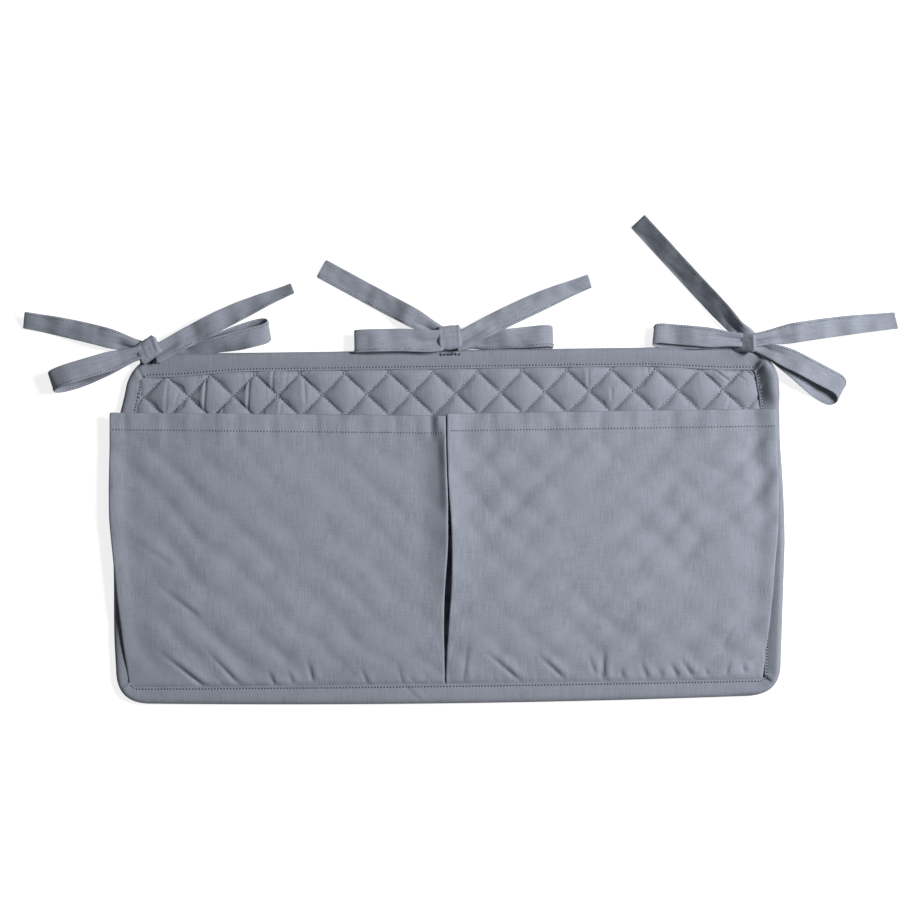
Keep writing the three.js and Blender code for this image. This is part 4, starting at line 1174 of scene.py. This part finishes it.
def heightOn(piece, x, y):
    hit, place, normal, _ = piece.ray_cast(Vector((x, y, sewing["lookFrom"])), -upward, depsgraph=graph)
    return (place, normal) if hit else (None, None)


for name, plan in pocketPlans.items():
    bm = bmesh.new()
    path = []
    inset = plan["side"] * sewing["hemInset"]
    for i in range(sewing["hemPoints"] + 1):
        share = i / sewing["hemPoints"]
        y = topEdge - mix(plan["innerDrop"], plan["outerDrop"], share) - sewing["hemBelow"]
        x = mix(innerEdge(plan, y) + inset, outerEdge(plan, y) - inset, share)
        place, normal = heightOn(pockets[name], x, y)
        if place:
            path.append((place, normal))
    runStitches(bm, path, seams["hem"])
    newPiece(f"hem_stitches_{name}", bm, [seamThread, hemHoleShade], f"pocket_{name}")

bm = bmesh.new()
line = wholeOutline(binding["stitchShare"])
path = []
for spot in line + line[:1]:
    place, _ = heightOn(bindingPiece, spot.x, spot.y)
    if place:
        path.append((place + upward * sewing["bindingLift"], upward))
runStitches(bm, path, seams["binding"])
newPiece("binding_stitches", bm, [seamThread, seamHoleShade], "panel")

bm = bmesh.new()
lines = sewing["quiltLines"]
for family in range(2):
    for line in range(-lines, lines + 1):
        path = []
        for i in range(sewing["quiltPoints"] + 1):
            across = mix(-lines, lines, i / sewing["quiltPoints"])
            x, y = quiltPlace(line, across) if family else quiltPlace(across, line)
            if y < sewing["quiltFrom"] or fromEdge(x, y) < sewing["quiltEdge"]:
                if len(path) > 3:
                    runStitches(bm, path, seams["quilting"])
                path = []
                continue
            place, _ = heightOn(quiltTop, x, y)
            if place:
                path.append((place + upward * sewing["quiltLift"], upward))
newPiece("quilting_stitches", bm, [seamThread, seamHoleShade], "panel")
print("stitches made")

# Floor: shown white, with the object's shadow
floorLook = {"size": 6.0, "bounce": 0.8, "glow": (0.82, 1.0), "glowAt": (0.6, 1.6), "lit": 0.42}
bm = bmesh.new()
bmesh.ops.create_grid(bm, x_segments=1, y_segments=1, size=floorLook["size"])
floorMesh = bpy.data.meshes.new("floor")
bm.to_mesh(floorMesh)
bm.free()
floor = addObject("floor", floorMesh)
floorFinish = Finish(bpy.data.materials.new("white floor"))
cameraRay, glossyRay, clearRay = (floorFinish.add("LightPath", {}, {}, out=f"Is {kind} Ray")
                                  for kind in ("Camera", "Glossy", "Transmission"))
plain = floorFinish.add("BsdfDiffuse", {}, {"Color": grey(floorLook["bounce"])})
place = floorFinish.add("TexCoord", {}, {}, out="Object")
away = floorFinish.add("VectorMath", {"operation": "LENGTH"}, {0: place}, out="Value")
far = remap(floorFinish, away, floorLook["glowAt"], *floorLook["glow"])
glow = floorFinish.add("Emission", {}, {"Color": far, "Strength": 1.0})
lit = floorFinish.add("BsdfDiffuse", {}, {"Color": grey(floorLook["lit"])})
bright = floorFinish.add("AddShader", {}, {0: glow, 1: lit})
shown = floorFinish.add("MixShader", {}, {"Fac": cameraRay + glossyRay + clearRay, 1: plain, 2: bright})
floorMesh.materials.append(floorFinish.close(shown))

# Light: one window from the right, and a white room that lights little
light = {
    "azimuth": 16.0, "elevation": 46.0, "distance": 2.8, "aim": (0.02, 0.03, 0.0), "size": 0.8,
    "power": 107.0, "world": 0.10,
}
azimuth, elevation = math.radians(light["azimuth"]), math.radians(light["elevation"])
level = math.cos(elevation)
toLight = Vector((math.cos(azimuth) * level, math.sin(azimuth) * level, math.sin(elevation)))
lamp = bpy.data.lights.new("window", "AREA")
lamp.shape = "SQUARE"
lamp.size = light["size"]
lamp.energy = light["power"]
lampObject = addObject("window", lamp)
lampObject.location = Vector(light["aim"]) + toLight * light["distance"]
lampObject.rotation_euler = (-toLight).to_track_quat("-Z", "Y").to_euler()

sky = Finish(bpy.data.worlds.new("studio"))
dim, white = (sky.add("Background", {}, {"Color": grey(1.0), "Strength": strength})
              for strength in (light["world"], 1.0))
seen = sky.add("LightPath", {}, {}, out="Is Camera Ray")
bpy.context.scene.world = sky.close(sky.add("MixShader", {}, {"Fac": seen, 1: dim, 2: white}), "OutputWorld")

# Camera: straight from above, turned a little as in the photograph
camera = {
    "middle": (0.0110, 0.0577), "height": 2.2, "level": 0.008, "view": 0.8202, "roll": -0.0131,
    "sensor": 36.0, "clip": 20.0,
}
lens = bpy.data.cameras.new("camera")
lens.sensor_width = camera["sensor"]
lens.lens = camera["sensor"] * (camera["height"] - camera["level"]) / camera["view"]
lens.clip_end = camera["clip"]
cameraObject = addObject("camera", lens)
cameraObject.location = (*camera["middle"], camera["height"])
cameraObject.rotation_euler = (0, 0, camera["roll"])
bpy.context.scene.camera = cameraObject
bpy.context.scene.view_settings.view_transform = "Standard"
print("camera and light set")

bpy.context.view_layer.update()
